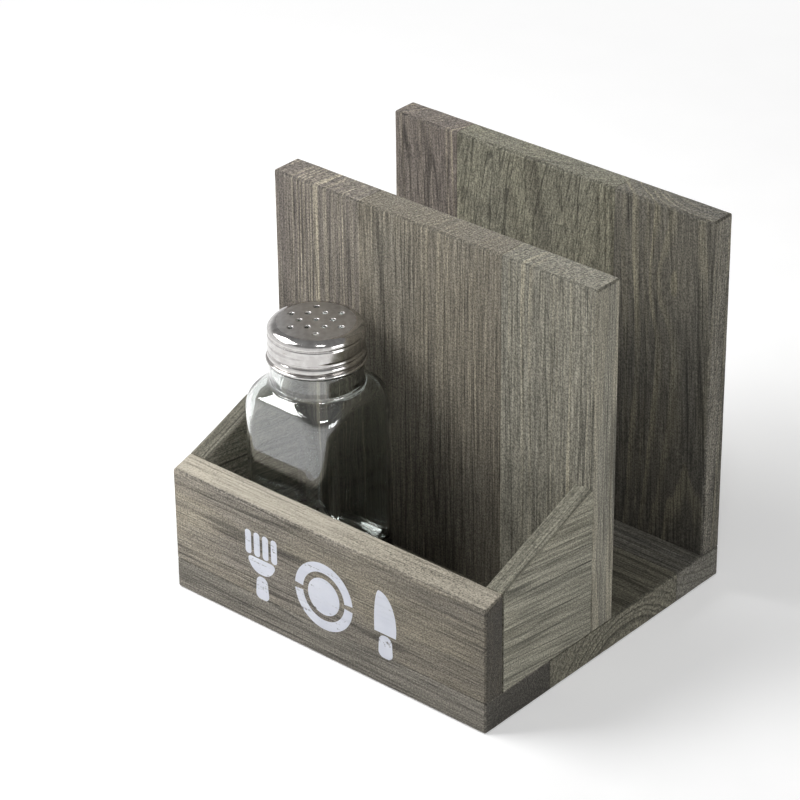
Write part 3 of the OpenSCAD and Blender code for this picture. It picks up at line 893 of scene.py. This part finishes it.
def section(z, inset):
    """Half width and corner radius of the rounded square at height z, and the circle's radius."""
    round_r = max(FACE_BEND - inset, LEAST_BEND)
    up = max(0.0, z - FACE_TOP)
    bent = min(up, round_r * math.cos(FACE_PITCH))
    slope = (up - bent) / math.tan(FACE_PITCH)
    half = HALF - inset - round_r + math.sqrt(round_r ** 2 - bent ** 2) - slope
    return half, min(half, CORNER - inset), turned_radius(z, inset)


def outline_radius(angle, half, corner, trim):
    """Distance from the axis to a rounded square's outline in one direction."""
    turn = abs((angle + math.pi / 4) % (math.pi / 2) - math.pi / 4)
    across, along = math.cos(turn), math.sin(turn)
    middle = half - corner
    radius = half / across
    if radius * along > middle:
        bow = max(0.0, corner ** 2 - (middle * (across - along)) ** 2)
        radius = middle * (across + along) + math.sqrt(bow)
    near = max(0.0, EDGE_BLEND - abs(radius - trim))
    return min(radius, trim) - near ** 2 / (4 * EDGE_BLEND)


print("section at the arch:", [round(v / MM, 2) for v in section(66 * MM, 0)])

# %% [markdown]
# The thread on the neck is a ridge that climbs once and a quarter round it, and the cap has
# the same helix rolled into its skirt as a groove. Both come from one function, which says
# how strongly a point lies on the helix.

# %% The thread that neck and cap share
THREAD_START = 81.2 * MM
THREAD_RISE = 3.1 * MM
THREAD_TURNS = 1.3
THREAD_HALF = 1.15 * MM
THREAD_AT = math.radians(200)
RUN_OUT = 0.1


def on_thread(angle, z):
    """One on the crest of the helix, nothing away from it, with both ends run out softly."""
    first = ((angle - THREAD_AT) / (2 * math.pi)) % 1.0
    best = 0.0
    for turn in (first, first + 1.0):
        if turn < THREAD_TURNS:
            off = abs(z - THREAD_START - THREAD_RISE * turn) / THREAD_HALF
            fade = min(1.0, turn / RUN_OUT, (THREAD_TURNS - turn) / RUN_OUT)
            best = max(best, fade * (0.5 + 0.5 * math.cos(math.pi * min(1.0, off))))
    return best


print("the thread climbs", round(THREAD_RISE * THREAD_TURNS / MM, 2), "mm")

# %% [markdown]
# The rings are listed in the order in which the loft meets them, close together where the
# form bends and wide apart on the straight walls. Each says how high it lies, how wide its
# square is, how round the corners are and what circle trims it.

# %% The bottle's outer rings
def stretch(start, end, count):
    return [start + (end - start) * (i + 1) / count for i in range(count)]


def quarter(count):
    return [math.pi / 2 * (i + 1) / count for i in range(count)]


def circle_ring(z, radius):
    return z, radius, radius, NO_TRIM


def rounded_rim(top, radius, round_r, count):
    """The outer quarter of a rounded rim that ends level at the height of top."""
    level, inset = top - round_r, radius - round_r
    return [circle_ring(level + round_r * math.sin(turn), inset + round_r * math.cos(turn))
            for turn in quarter(count)]


def foot_rings():
    flat = HALF - FOOT_ROUND
    sharp = CORNER - FOOT_ROUND
    hollow = flat - FOOT_RING
    rings = [circle_ring(FOOT_HOLLOW, r * MM) for r in (2, 5, 9, 12.4)]
    rings += [circle_ring(FOOT_HOLLOW * 0.6, hollow - 0.7 * MM), circle_ring(FOOT_HOLLOW * 0.1, hollow)]
    rings += [(0.0, hollow + 0.8 * MM, hollow - 1 * MM, NO_TRIM)]
    rings += [(0.0, flat - 0.5 * MM, sharp + 0.5 * MM, NO_TRIM), (0.0, flat, sharp, NO_TRIM)]
    for turn in quarter(7):
        out = FOOT_ROUND * math.sin(turn)
        rings.append((FOOT_ROUND - FOOT_ROUND * math.cos(turn), flat + out, sharp + out, NO_TRIM))
    return rings


def outer_rings():
    """Rings from the foot's middle up to the rim."""
    root_z = SHOULDER_TOP + COLLAR_ROOT * (1 - math.sin(PITCH)) / math.cos(PITCH)
    cone_top = root_z - COLLAR_ROOT * math.cos(PITCH)
    wall_top = CORNER_TOP - 1 * MM
    heights = stretch(FOOT_ROUND, wall_top, 12) + stretch(wall_top, cone_top, 44)
    rings = foot_rings() + [(z, *section(z, 0)) for z in heights]
    for turn in stretch(PITCH, math.pi / 2, 7):
        radius = COLLAR_RADIUS + COLLAR_ROOT * (1 - math.sin(turn))
        rings.append(circle_ring(root_z - COLLAR_ROOT * math.cos(turn), radius))
    rings += [circle_ring(z, COLLAR_RADIUS) for z in stretch(root_z, COLLAR_TOP - COLLAR_EDGE, 6)]
    rings += rounded_rim(COLLAR_TOP, COLLAR_RADIUS, COLLAR_EDGE, 4)
    rings.append(circle_ring(COLLAR_TOP, NECK_RADIUS + NECK_FOOT))
    rings.append(circle_ring(COLLAR_TOP + NECK_FOOT, NECK_RADIUS))
    rings += [circle_ring(z, NECK_RADIUS) for z in stretch(COLLAR_TOP + 2 * NECK_FOOT, RIM - LIP, 46)]
    return rings + rounded_rim(RIM, NECK_RADIUS, LIP, 6)


print("rings outside:", len(outer_rings()))

# %% [markdown]
# Inside, the rings come down again: the lip, the bore of the neck, a shoulder that keeps the
# wall's thickness and meets the bore in a soft bend, and a floor with a rounded edge and a low
# dome. The bend is made as the soft edge outside is, with the larger of two circles.

# %% The bottle's inner rings
NECK_BLEND = 0.8 * MM
INNER_LIP = ((0, 0.4), (0.12, 0.12), (0.4, 0.0))


def inner_rings():
    """Rings from the rim down the inside to the middle of the floor."""
    rings = [circle_ring(RIM - z * MM, BORE_RADIUS + r * MM) for z, r in INNER_LIP]
    shoulder_end = CORNER_TOP + (SHOULDER - WALL) * math.cos(PITCH)
    neck_low = shoulder_end + (turned_radius(shoulder_end, WALL) - BORE_RADIUS) * math.tan(PITCH)
    rings += [circle_ring(z, BORE_RADIUS) for z in stretch(RIM - 0.4 * MM, neck_low + 1.6 * MM, 8)]
    for z in stretch(neck_low + 0.8 * MM, CORNER_TOP, 44):
        half, corner, trim = section(z, WALL)
        near = max(0.0, NECK_BLEND - abs(trim - BORE_RADIUS))
        trim = max(trim, BORE_RADIUS) + near ** 2 / (4 * NECK_BLEND)
        rings.append((z, half, corner, trim) if z < neck_low - 1 * MM else circle_ring(z, trim))
    side, corner = HALF - WALL, CORNER - WALL
    rings += [(z, side, corner, NO_TRIM) for z in stretch(CORNER_TOP, FLOOR + FLOOR_ROUND, 22)]
    for turn in quarter(9):
        half = side - FLOOR_ROUND * (1 - math.cos(turn))
        rings.append((FLOOR + FLOOR_ROUND * (1 - math.sin(turn)), half, corner, NO_TRIM))
    for half in (11 * MM, 7 * MM, 3 * MM):
        share = half / (side - FLOOR_ROUND)
        dome = FLOOR + FLOOR_DOME * (1 - share ** 2)
        rings.append((dome, half, half * (0.4 + 0.6 * (1 - share)), NO_TRIM))
    return rings


print("rings inside:", len(inner_rings()))

# %% [markdown]
# The loft extrudes the last ring's edges and sets the new corners on the next ring. The neck
# also gets its thread, and the inner wall a slight ripple, which a mould's plunger leaves and
# which makes the view through the glass waver. The bottle has to be closed, as refraction
# needs, so both ends are filled and the open edges are counted.

# %% Lofting the bottle
THREAD_HEIGHT = 0.7 * MM
RIPPLE = 0.16 * MM


def ripple(z, angle):
    """The small unevenness that the mould's plunger leaves on the inner wall."""
    spot = Vector((math.cos(angle), math.sin(angle), z / (24 * MM)))
    return RIPPLE * noise.noise(spot * 1.7)


def next_ring(bm, current, edges):
    """The verts of a new ring, each at the place in the list of the vert that it grew from."""
    order = {v: i for i, v in enumerate(current)}
    drawn = bmesh.ops.extrude_edge_only(bm, edges=edges)["geom"]
    ahead = [None] * SIDE_COUNT
    for vert in (g for g in drawn if isinstance(g, bmesh.types.BMVert)):
        old = next(e.other_vert(vert) for e in vert.link_edges if e.other_vert(vert) in order)
        ahead[order[old]] = vert
    return ahead, [g for g in drawn if isinstance(g, bmesh.types.BMEdge)]


def loft_bottle():
    bm = bmesh.new()
    current = bmesh.ops.create_circle(bm, cap_ends=False, segments=SIDE_COUNT, radius=1.0)["verts"]
    angles = [math.atan2(v.co.y, v.co.x) for v in current]
    outside, inside = outer_rings(), inner_rings()
    edges = list({e for v in current for e in v.link_edges})
    for count, (z, half, corner, trim) in enumerate(outside + inside):
        if count:
            current, edges = next_ring(bm, current, edges)
        on_neck = count < len(outside) and z > COLLAR_TOP + 0.5 * MM and half > BORE_RADIUS + LIP
        past_lip = count >= len(outside) + len(INNER_LIP)
        in_body = past_lip and z > FLOOR + WALL and half > BORE_RADIUS
        for vert, angle in zip(current, angles):
            radius = outline_radius(angle, half, corner, trim)
            if on_neck:
                radius += THREAD_HEIGHT * on_thread(angle, z)
            if in_body:
                radius += ripple(z, angle)
            vert.co = AXIS + Vector((radius * math.cos(angle), radius * math.sin(angle), z))
    bmesh.ops.holes_fill(bm, edges=[e for e in bm.edges if e.is_boundary], sides=SIDE_COUNT)
    bmesh.ops.poke(bm, faces=[f for f in bm.faces if len(f.verts) > 4])
    bmesh.ops.recalc_face_normals(bm, faces=bm.faces)
    for face in bm.faces:
        face.smooth = True
    return bm


bottle = loft_bottle()
print("open edges:", sum(e.is_boundary for e in bottle.edges), "volume cm3:",
      round(bottle.calc_volume() * 1e6, 2))

# %% [markdown]
# Pressed glass is clear with a faint green tinge, and its fire-polished skin mirrors more than
# its core does. A plain glass shader of one index gives half the gleam of the photograph, so
# the shader is clear glass under a thin coat of a higher index. Slow noise bends the normals a
# little, since no pressed face is quite flat.

# %% Clear pressed glass
GLASS_INDEX = 1.5
SKIN_INDEX = 1.7


def clear_glass():
    material, tree = new_material("clear pressed glass")
    here = object_place(tree)
    wave = cloud(tree, here, 55.0, 2.0)
    smear = cloud(tree, here, 160.0, 4.0)
    shade(tree, {
        "Base Color": mix_colour(tree, wave, tone("#f6faf8"), tone("#fcfffd")),
        "Roughness": ramp(tree, smear, 0.45, 0.8, 0.0, 0.05),
        "Normal": bump(tree, 0.25, 0.12 * MM, wave), "Transmission Weight": 1.0,
        "IOR": GLASS_INDEX, "Coat Weight": 1.0, "Coat IOR": SKIN_INDEX, "Coat Roughness": 0.01,
    })
    return material


finish_piece(new_object("shaker_glass", bottle), "shaker", "clear_glass", clear_glass(), "shaker_bottle")

# %% [markdown]
# The cap is one disc of steel sheet, drawn, rolled and pierced: a nearly flat satin top, a
# polished rounded edge, a crease, a plain band with the thread rolled into it, a rib, and a
# curled lower edge. A lathe shape is the natural way, so a profile of the sheet's outer and
# inner face is spun round the axis. The rolled forms of the skirt stand in one short list, each
# with its height, its reach up and down, and how far it swells out or presses in.

# %% The cap's profile
CAP_LOW = 77.5 * MM
CAP_RADIUS = 16.5 * MM
CAP_SHEET = 0.45 * MM
TOP_RADIUS = 13.25 * MM
DOME = 0.5 * MM
EDGE_LOW = 88.2 * MM
CURL = 0.55 * MM
CURL_RADIUS = CAP_RADIUS - CAP_SHEET + CURL
CURL_FROM = 125
CURL_SWEEP = 305
GROOVE = 0.35 * MM
CREASE = (87.5 * MM, 0.6 * MM, -0.3 * MM)
UPPER_GROOVE = (81.2 * MM, 0.6 * MM, -GROOVE)
RIB = (79.9 * MM, 0.8 * MM, 0.17 * MM)
LOWER_GROOVE = (78.6 * MM, 0.6 * MM, -GROOVE)
RIB_FULLNESS = 0.6
TOP_RINGS = 18
EDGE_RINGS = 16


def rolled(z, form, fullness=1.0):
    centre, reach, depth = form
    return depth * (0.5 + 0.5 * math.cos(math.pi * min(1.0, abs(z - centre) / reach))) ** fullness


def skirt_radius(z):
    """Radius of the skirt's outer face: a crease, the band, a groove, the rib and a groove."""
    pressed = rolled(z, CREASE) + rolled(z, UPPER_GROOVE) + rolled(z, LOWER_GROOVE)
    return CAP_RADIUS + pressed + rolled(z, RIB, RIB_FULLNESS)


def top_height(radius):
    return CAP_TOP - DOME * (radius / TOP_RADIUS) ** 2


def cap_face(sheet, skirt):
    """One face of the sheet, from the middle of the top to the curl, so far inside the outer."""
    edge_reach = CAP_RADIUS - TOP_RADIUS - sheet
    edge_drop = top_height(TOP_RADIUS) - EDGE_LOW - sheet
    face = [(r, top_height(r) - sheet) for r in (TOP_RADIUS * i / TOP_RINGS for i in range(TOP_RINGS))]
    for i in range(EDGE_RINGS + 1):
        turn = math.pi / 2 * i / EDGE_RINGS
        face.append((TOP_RADIUS + edge_reach * math.sin(turn), EDGE_LOW + edge_drop * math.cos(turn)))
    return face + [(skirt_radius(z) - sheet, z) for z in skirt]


def cap_profile():
    skirt = stretch(EDGE_LOW, CAP_LOW + 2 * CURL, 56)
    curl = []
    for i in range(1, 20):
        turn = math.radians(CURL_FROM - CURL_SWEEP * i / 20)
        curl.append((CURL_RADIUS + CURL * math.cos(turn), CAP_LOW + CURL + CURL * math.sin(turn)))
    return cap_face(0.0, skirt) + curl + cap_face(CAP_SHEET, skirt)[::-1]


print("cap profile points:", len(cap_profile()))

# %% [markdown]
# The thirteen holes were punched from above, so the sheet rolls over a little at each rim. The
# cutter is therefore not a plain rod: its upper end flares out in a quarter circle, and what
# it leaves is a rounded rim. Six holes stand round the middle one, and six more fill the
# points of a star. Before that, the band's verts are pressed in along the helix of the thread.

# %% Piercing the cap
CAP_STEPS = 180
BAND = (82.0 * MM, 87.0 * MM)
PRESSED_THREAD = GROOVE * 0.85
HOLE_RADIUS = 0.95 * MM
HOLE_FLARE = 0.3 * MM
HOLE_PITCH = 5.6 * MM
HOLE_TURN = 41
PUNCH_BELOW = 3 * MM
PUNCH_ABOVE = 2 * MM


def hole_places():
    places = [Vector((0, 0, 0))]
    for i in range(6):
        for reach, degrees in ((1, HOLE_TURN + 60 * i), (math.sqrt(3), HOLE_TURN + 60 * i + 30)):
            turn = math.radians(degrees)
            places.append(HOLE_PITCH * reach * Vector((math.cos(turn), math.sin(turn), 0)))
    return places


def punch(place):
    surface = top_height(place.length)
    wide = HOLE_RADIUS + HOLE_FLARE
    points = [(0, surface - PUNCH_BELOW), (HOLE_RADIUS, surface - PUNCH_BELOW)]
    for turn in [0] + quarter(5):
        points.append((wide - HOLE_FLARE * math.cos(turn), surface - HOLE_FLARE * (1 - math.sin(turn))))
    points += [(wide, surface + PUNCH_ABOVE), (0, surface + PUNCH_ABOVE)]
    return spun(points, 28, AXIS + place)


cap_bm = spun(cap_profile(), CAP_STEPS, AXIS)
for vert in cap_bm.verts:
    away = Vector((vert.co.x - AXIS.x, vert.co.y - AXIS.y, 0))
    height = vert.co.z - FOOT
    inside = min(height - BAND[0], BAND[1] - height)
    if inside > 0:
        press = PRESSED_THREAD * on_thread(math.atan2(away.y, away.x), height)
        vert.co -= away.normalized() * press * min(1.0, inside / MM)
cap = new_object("pierced_cap", cap_bm)
punches = bmesh.new()
for place in hole_places():
    add_to(punches, punch(place))
carve(cap, punches)
print("holes in the cap:", len(hole_places()))

# %% [markdown]
# The steel is satin on top, where the sheet kept its rolled surface with fine lines one way,
# and polished by the tool on the rounded edge and skirt. The distance from the cap's axis
# tells the two apart in the material.

# %% Satin and polished steel
SATIN_EDGE = (13.1, 13.5)
POLISHED_ROUGH = 0.1
SATIN_ROUGH = 0.27


def cap_steel():
    material, tree = new_material("cap steel")
    place = place_in_mm(tree, object_place(tree), [v / MM for v in (AXIS.x, AXIS.y, FOOT + CAP_TOP)])
    radius = vector(tree, "LENGTH", vector(tree, "MULTIPLY", place, (1, 1, 0)))
    satin = ramp(tree, radius, *SATIN_EDGE, 1.0, 0.0)
    lines = cloud(tree, vector(tree, "MULTIPLY", place, (0.6, 9.0, 0.6)), 1.0, 3.0)
    lines = times(tree, lines, satin)
    smear = cloud(tree, place, 0.5, 4.0)
    rough = ramp(tree, satin, 0.0, 1.0, POLISHED_ROUGH, SATIN_ROUGH)
    rough = plus(tree, rough, ramp(tree, smear, 0.3, 0.8, 0.0, 0.08))
    shade(tree, {
        "Base Color": mix_colour(tree, ramp(tree, smear, 0.3, 0.7), tone("#bfbcba"), tone("#cfcdcb")),
        "Roughness": plus(tree, rough, times(tree, lines, 0.08)), "Metallic": 1.0,
        "Normal": bump(tree, 0.35, 0.03 * MM, lines),
    })
    return material


finish_piece(cap, "cap", "cap_steel", cap_steel(), "shaker_cap")

# %% [markdown]
# White stencil paint decorates the front board. The figure here is a plain table sign: a
# fork, a plate and a knife, with the bridges that hold a real stencil together. It is a film of
# real thickness, made of flat shapes drawn with the grid, circle and spin operators and then
# extruded. The front board is thinned by as much, so that the film stays inside its size.

# %% Stencil shapes
PAINT = 0.05 * MM
SIGN_MIDDLE = Vector((-0.5 * MM, 0, 24.0 * MM))
BLADE_BACK = 0.3
BLADE_FOOT = -0.25


def bar(x, z, width, height, round_r=None, taper=1.0):
    """An upright bar with rounded corners, centred at x, z; taper narrows its lower end."""
    bm = bmesh.new()
    verts = bmesh.ops.create_grid(bm, x_segments=1, y_segments=1, size=0.5)["verts"]
    bmesh.ops.scale(bm, vec=(width, height, 1), verts=verts)
    bmesh.ops.scale(bm, vec=(taper, 1, 1), verts=[v for v in verts if v.co.y < 0])
    bmesh.ops.bevel(bm, geom=verts, offset=round_r or width * min(taper, 1.0) * 0.45, offset_type="OFFSET",
                    affect="VERTICES", segments=6, profile=0.5, material=-1, clamp_overlap=True)
    bmesh.ops.translate(bm, vec=(x, z, 0), verts=bm.verts)
    return bm


def disc(radius):
    bm = bmesh.new()
    bmesh.ops.create_circle(bm, cap_ends=True, segments=48, radius=radius)
    return bm


def blade(x, low, width, height):
    """A table knife's blade: half an oval with a straight back, cut off level at its foot."""
    bm = disc(1.0)
    bmesh.ops.scale(bm, vec=(BLADE_BACK, 1, 1), verts=[v for v in bm.verts if v.co.x < 0])
    slice_through(bm, (0, BLADE_FOOT, 0), (0, -1, 0), 1e-6, keep_both=False)
    bmesh.ops.scale(bm, vec=(width / (1 + BLADE_BACK), height / (1 - BLADE_FOOT), 1), verts=bm.verts)
    bmesh.ops.translate(bm, vec=(x - 0.27 * width, low + height * 0.2, 0), verts=bm.verts)
    return bm


def arc_band(radius, width, start, sweep):
    """A band of a ring, made by turning one short edge about the plate's middle."""
    bm = bmesh.new()
    ends = [bm.verts.new((radius + side * width / 2, 0, 0)) for side in (-1, 1)]
    edge = bm.edges.new(ends)
    turn_verts(bm, ends, start)
    bmesh.ops.spin(bm, geom=ends + [edge], cent=(0, 0, 0), axis=(0, 0, 1), angle=sweep,
                   steps=int(sweep * 20))
    return bm


print("paint is", round(PAINT / MM, 2), "mm thick")

# %% [markdown]
# The shapes are put together on the flat: two half rings and a disc are the plate, four tines,
# a head and a handle are the fork, and a blade and a handle are the knife. The gaps left
# between them are the stencil's bridges.

# %% The fork, the plate and the knife
PLATE_RIM = (11.0 * MM, 3.6 * MM)
PLATE_MIDDLE = 7.0 * MM
BRIDGE = math.radians(5)
FORK_X = -28.0 * MM
KNIFE_X = 27.0 * MM
TINE_PITCH = 3.9 * MM


def draw_sign():
    bm = bmesh.new()
    for half in range(2):
        add_to(bm, arc_band(*PLATE_RIM, math.pi * half + BRIDGE, math.pi - 2 * BRIDGE))
    add_to(bm, disc(PLATE_MIDDLE))
    for i in range(4):
        add_to(bm, bar(FORK_X + (i - 1.5) * TINE_PITCH, 8.2 * MM, 2.7 * MM, 9.4 * MM))
    add_to(bm, bar(FORK_X, 0.0, 14.4 * MM, 6.0 * MM, round_r=2.9 * MM, taper=0.5))
    add_to(bm, bar(FORK_X, -8.3 * MM, 4.8 * MM, 9.0 * MM, taper=1.3))
    add_to(bm, blade(KNIFE_X, -3.4 * MM, 9.6 * MM, 16.2 * MM))
    add_to(bm, bar(KNIFE_X, -8.4 * MM, 5.4 * MM, 8.8 * MM, taper=1.2))
    return bm


def film(bm):
    """Stands the flat shapes up on the board's front face and gives them the paint's thickness."""
    for face in bm.faces:
        if face.normal.z < 0:
            face.normal_flip()
    turn_verts(bm, bm.verts, math.pi / 2, "X")
    bmesh.ops.translate(bm, vec=SIGN_MIDDLE + Vector((0, FRONT_Y, 0)), verts=bm.verts)
    bmesh.ops.solidify(bm, geom=bm.faces[:], thickness=PAINT)
    bmesh.ops.recalc_face_normals(bm, faces=bm.faces)
    return bm


sign = new_object("stencil_sign", film(draw_sign()))
for vert in boards["front_board"].data.vertices:
    vert.co.y = max(vert.co.y, FRONT_Y + PAINT)
print("sign from y", round(min(v.co.y for v in sign.data.vertices) / MM, 3), "to",
      round(max(v.co.y for v in sign.data.vertices) / MM, 3))

# %% [markdown]
# Stencil paint on rough wood is thin: it skips the pores and rubs off the raised grain. The
# film's material therefore asks the same solid wood pattern that the board uses, at the same
# place, and lets it show through in the pores and in small rubbed spots.

# %% Worn white paint
def stencil_paint():
    material = BOARDS["front_board"].copy()
    material.name = "worn white paint"
    tree = material.node_tree
    wood, shader, texture_place = (next(n for n in tree.nodes if n.type == kind)
                                   for kind in ("GROUP", "BSDF_PRINCIPLED", "TEX_COORD"))
    here = texture_place.outputs["Object"]
    patches = cloud(tree, here, 140.0, 2.0)
    lift = plus(tree, cloud(tree, here, 900.0, 4.0, 0.65), times(tree, patches, 0.35))
    lift = plus(tree, lift, times(tree, wood.outputs["Height"], -0.22))
    bare = ramp(tree, lift, 0.75, 0.95, 0.0, 0.85)
    white = mix_colour(tree, patches, tone("#d6dae6"), tone("#eceef6"))
    tree.links.new(mix_colour(tree, bare, white, wood.outputs["Colour"]), shader.inputs["Base Color"])
    return material


finish_piece(sign, "caddy", "stencil_paint", stencil_paint())

# %% [markdown]
# The caddy stands on a plain white sweep. The floor near it takes its shadow as any matt
# surface does, and only rays that see the floor, directly or in glass and steel, get a little
# extra light, which brings it up to the white of the page without lighting the wood. Far out
# the floor fades into the white of the world, so no horizon shows.

# %% Floor
FLOOR_REACH = 6.0
FLOOR_FADE = (0.22, 0.75)
FLOOR_LIFT = 0.24
PAGE_LIGHT = 0.42
WHITE = (1, 1, 1, 1)


def seen_rays(tree):
    path = node(tree, "LightPath").outputs
    seen = calc(tree, "MAXIMUM", path["Is Camera Ray"], path["Is Glossy Ray"])
    return calc(tree, "MAXIMUM", seen, path["Is Transmission Ray"])


def floor_material():
    material, tree = new_material("white sweep")
    here = object_place(tree)
    colour = mix_colour(tree, cloud(tree, here, 40.0, 3.0), tone("#eeeeee"), tone("#f4f4f4"))
    matt = node(tree, "BsdfDiffuse", {"Color": colour, "Roughness": 1.0})
    seen = seen_rays(tree)
    lifted = node(tree, "Emission", {"Color": WHITE, "Strength": times(tree, seen, FLOOR_LIFT)})
    near = node(tree, "AddShader", {0: matt.outputs[0], 1: lifted.outputs[0]})
    glow = ramp(tree, seen, 0.0, 1.0, PAGE_LIGHT, 1.0)
    page = node(tree, "Emission", {"Color": WHITE, "Strength": glow})
    fade = ramp(tree, vector(tree, "LENGTH", here), *FLOOR_FADE)
    surface = node(tree, "MixShader", {0: fade, 1: near.outputs[0], 2: page.outputs[0]})
    node(tree, "OutputMaterial", {"Surface": surface.outputs[0]})
    return material


floor_bm = bmesh.new()
bmesh.ops.create_grid(floor_bm, x_segments=8, y_segments=8, size=FLOOR_REACH)
floor = new_object("floor", floor_bm)
floor.data.materials.append(floor_material())
print("floor reaches", FLOOR_REACH, "m and fades between", FLOOR_FADE)

# %% [markdown]
# The light of a product photograph is a white tent with soft boxes. The world is the tent: it
# lights everything gently, and glass and steel mirror its white walls and dim roof. One large
# box at the front left draws the shaker's shadow on the divider and the white band on its
# shoulder, a second high one gives the small square gleam, a third lifts the right ends, and
# one behind the caddy keeps its back from going black.

# %% World and soft boxes
TENT_LIGHT = 0.15
ROOF_SHOWN = 0.25
ROOF_RISE = (0.08, 0.6)
LIT_POINT = Vector((0, 0, 60 * MM))
SOFT_BOXES = {
    "key box": ((-0.60, -0.42, 0.68), 0.6, (0.42, 0.32), 4.1),
    "top box": ((0.38, -0.31, 0.85), 0.9, (0.16, 0.16), 1.1),
    "right box": ((0.97, -0.02, 0.22), 1.2, (0.5, 0.4), 4.4),
    "back box": ((-0.45, 0.86, 0.25), 1.5, (0.6, 0.5), 6.0),
}


def make_world():
    world = bpy.data.worlds.new("tent")
    world.use_nodes = True
    tree = world.node_tree
    tree.nodes.clear()
    up = node(tree, "SeparateXYZ", {0: node(tree, "TexCoord").outputs["Generated"]}).outputs["Z"]
    shown = calc(tree, "SUBTRACT", ramp(tree, up, *ROOF_RISE, 1.0, ROOF_SHOWN), TENT_LIGHT)
    strength = calc(tree, "MULTIPLY_ADD", seen_rays(tree), shown, TENT_LIGHT)
    light = node(tree, "Background", {"Color": WHITE, "Strength": strength})
    node(tree, "OutputWorld", {"Surface": light.outputs[0]})
    bpy.context.scene.world = world


make_world()
for name, (direction, distance, size, watts) in SOFT_BOXES.items():
    lamp = bpy.data.lights.new(name, "AREA")
    lamp.shape = "RECTANGLE"
    lamp.size, lamp.size_y = size
    lamp.energy = watts
    box = bpy.data.objects.new(name, lamp)
    bpy.context.collection.objects.link(box)
    away = Vector(direction).normalized()
    turn = away.to_track_quat("Z", "Y").to_matrix().to_4x4()
    box.matrix_world = Matrix.Translation(LIT_POINT + away * distance) @ turn
    print(name, "at", [round(v, 2) for v in box.matrix_world.translation])
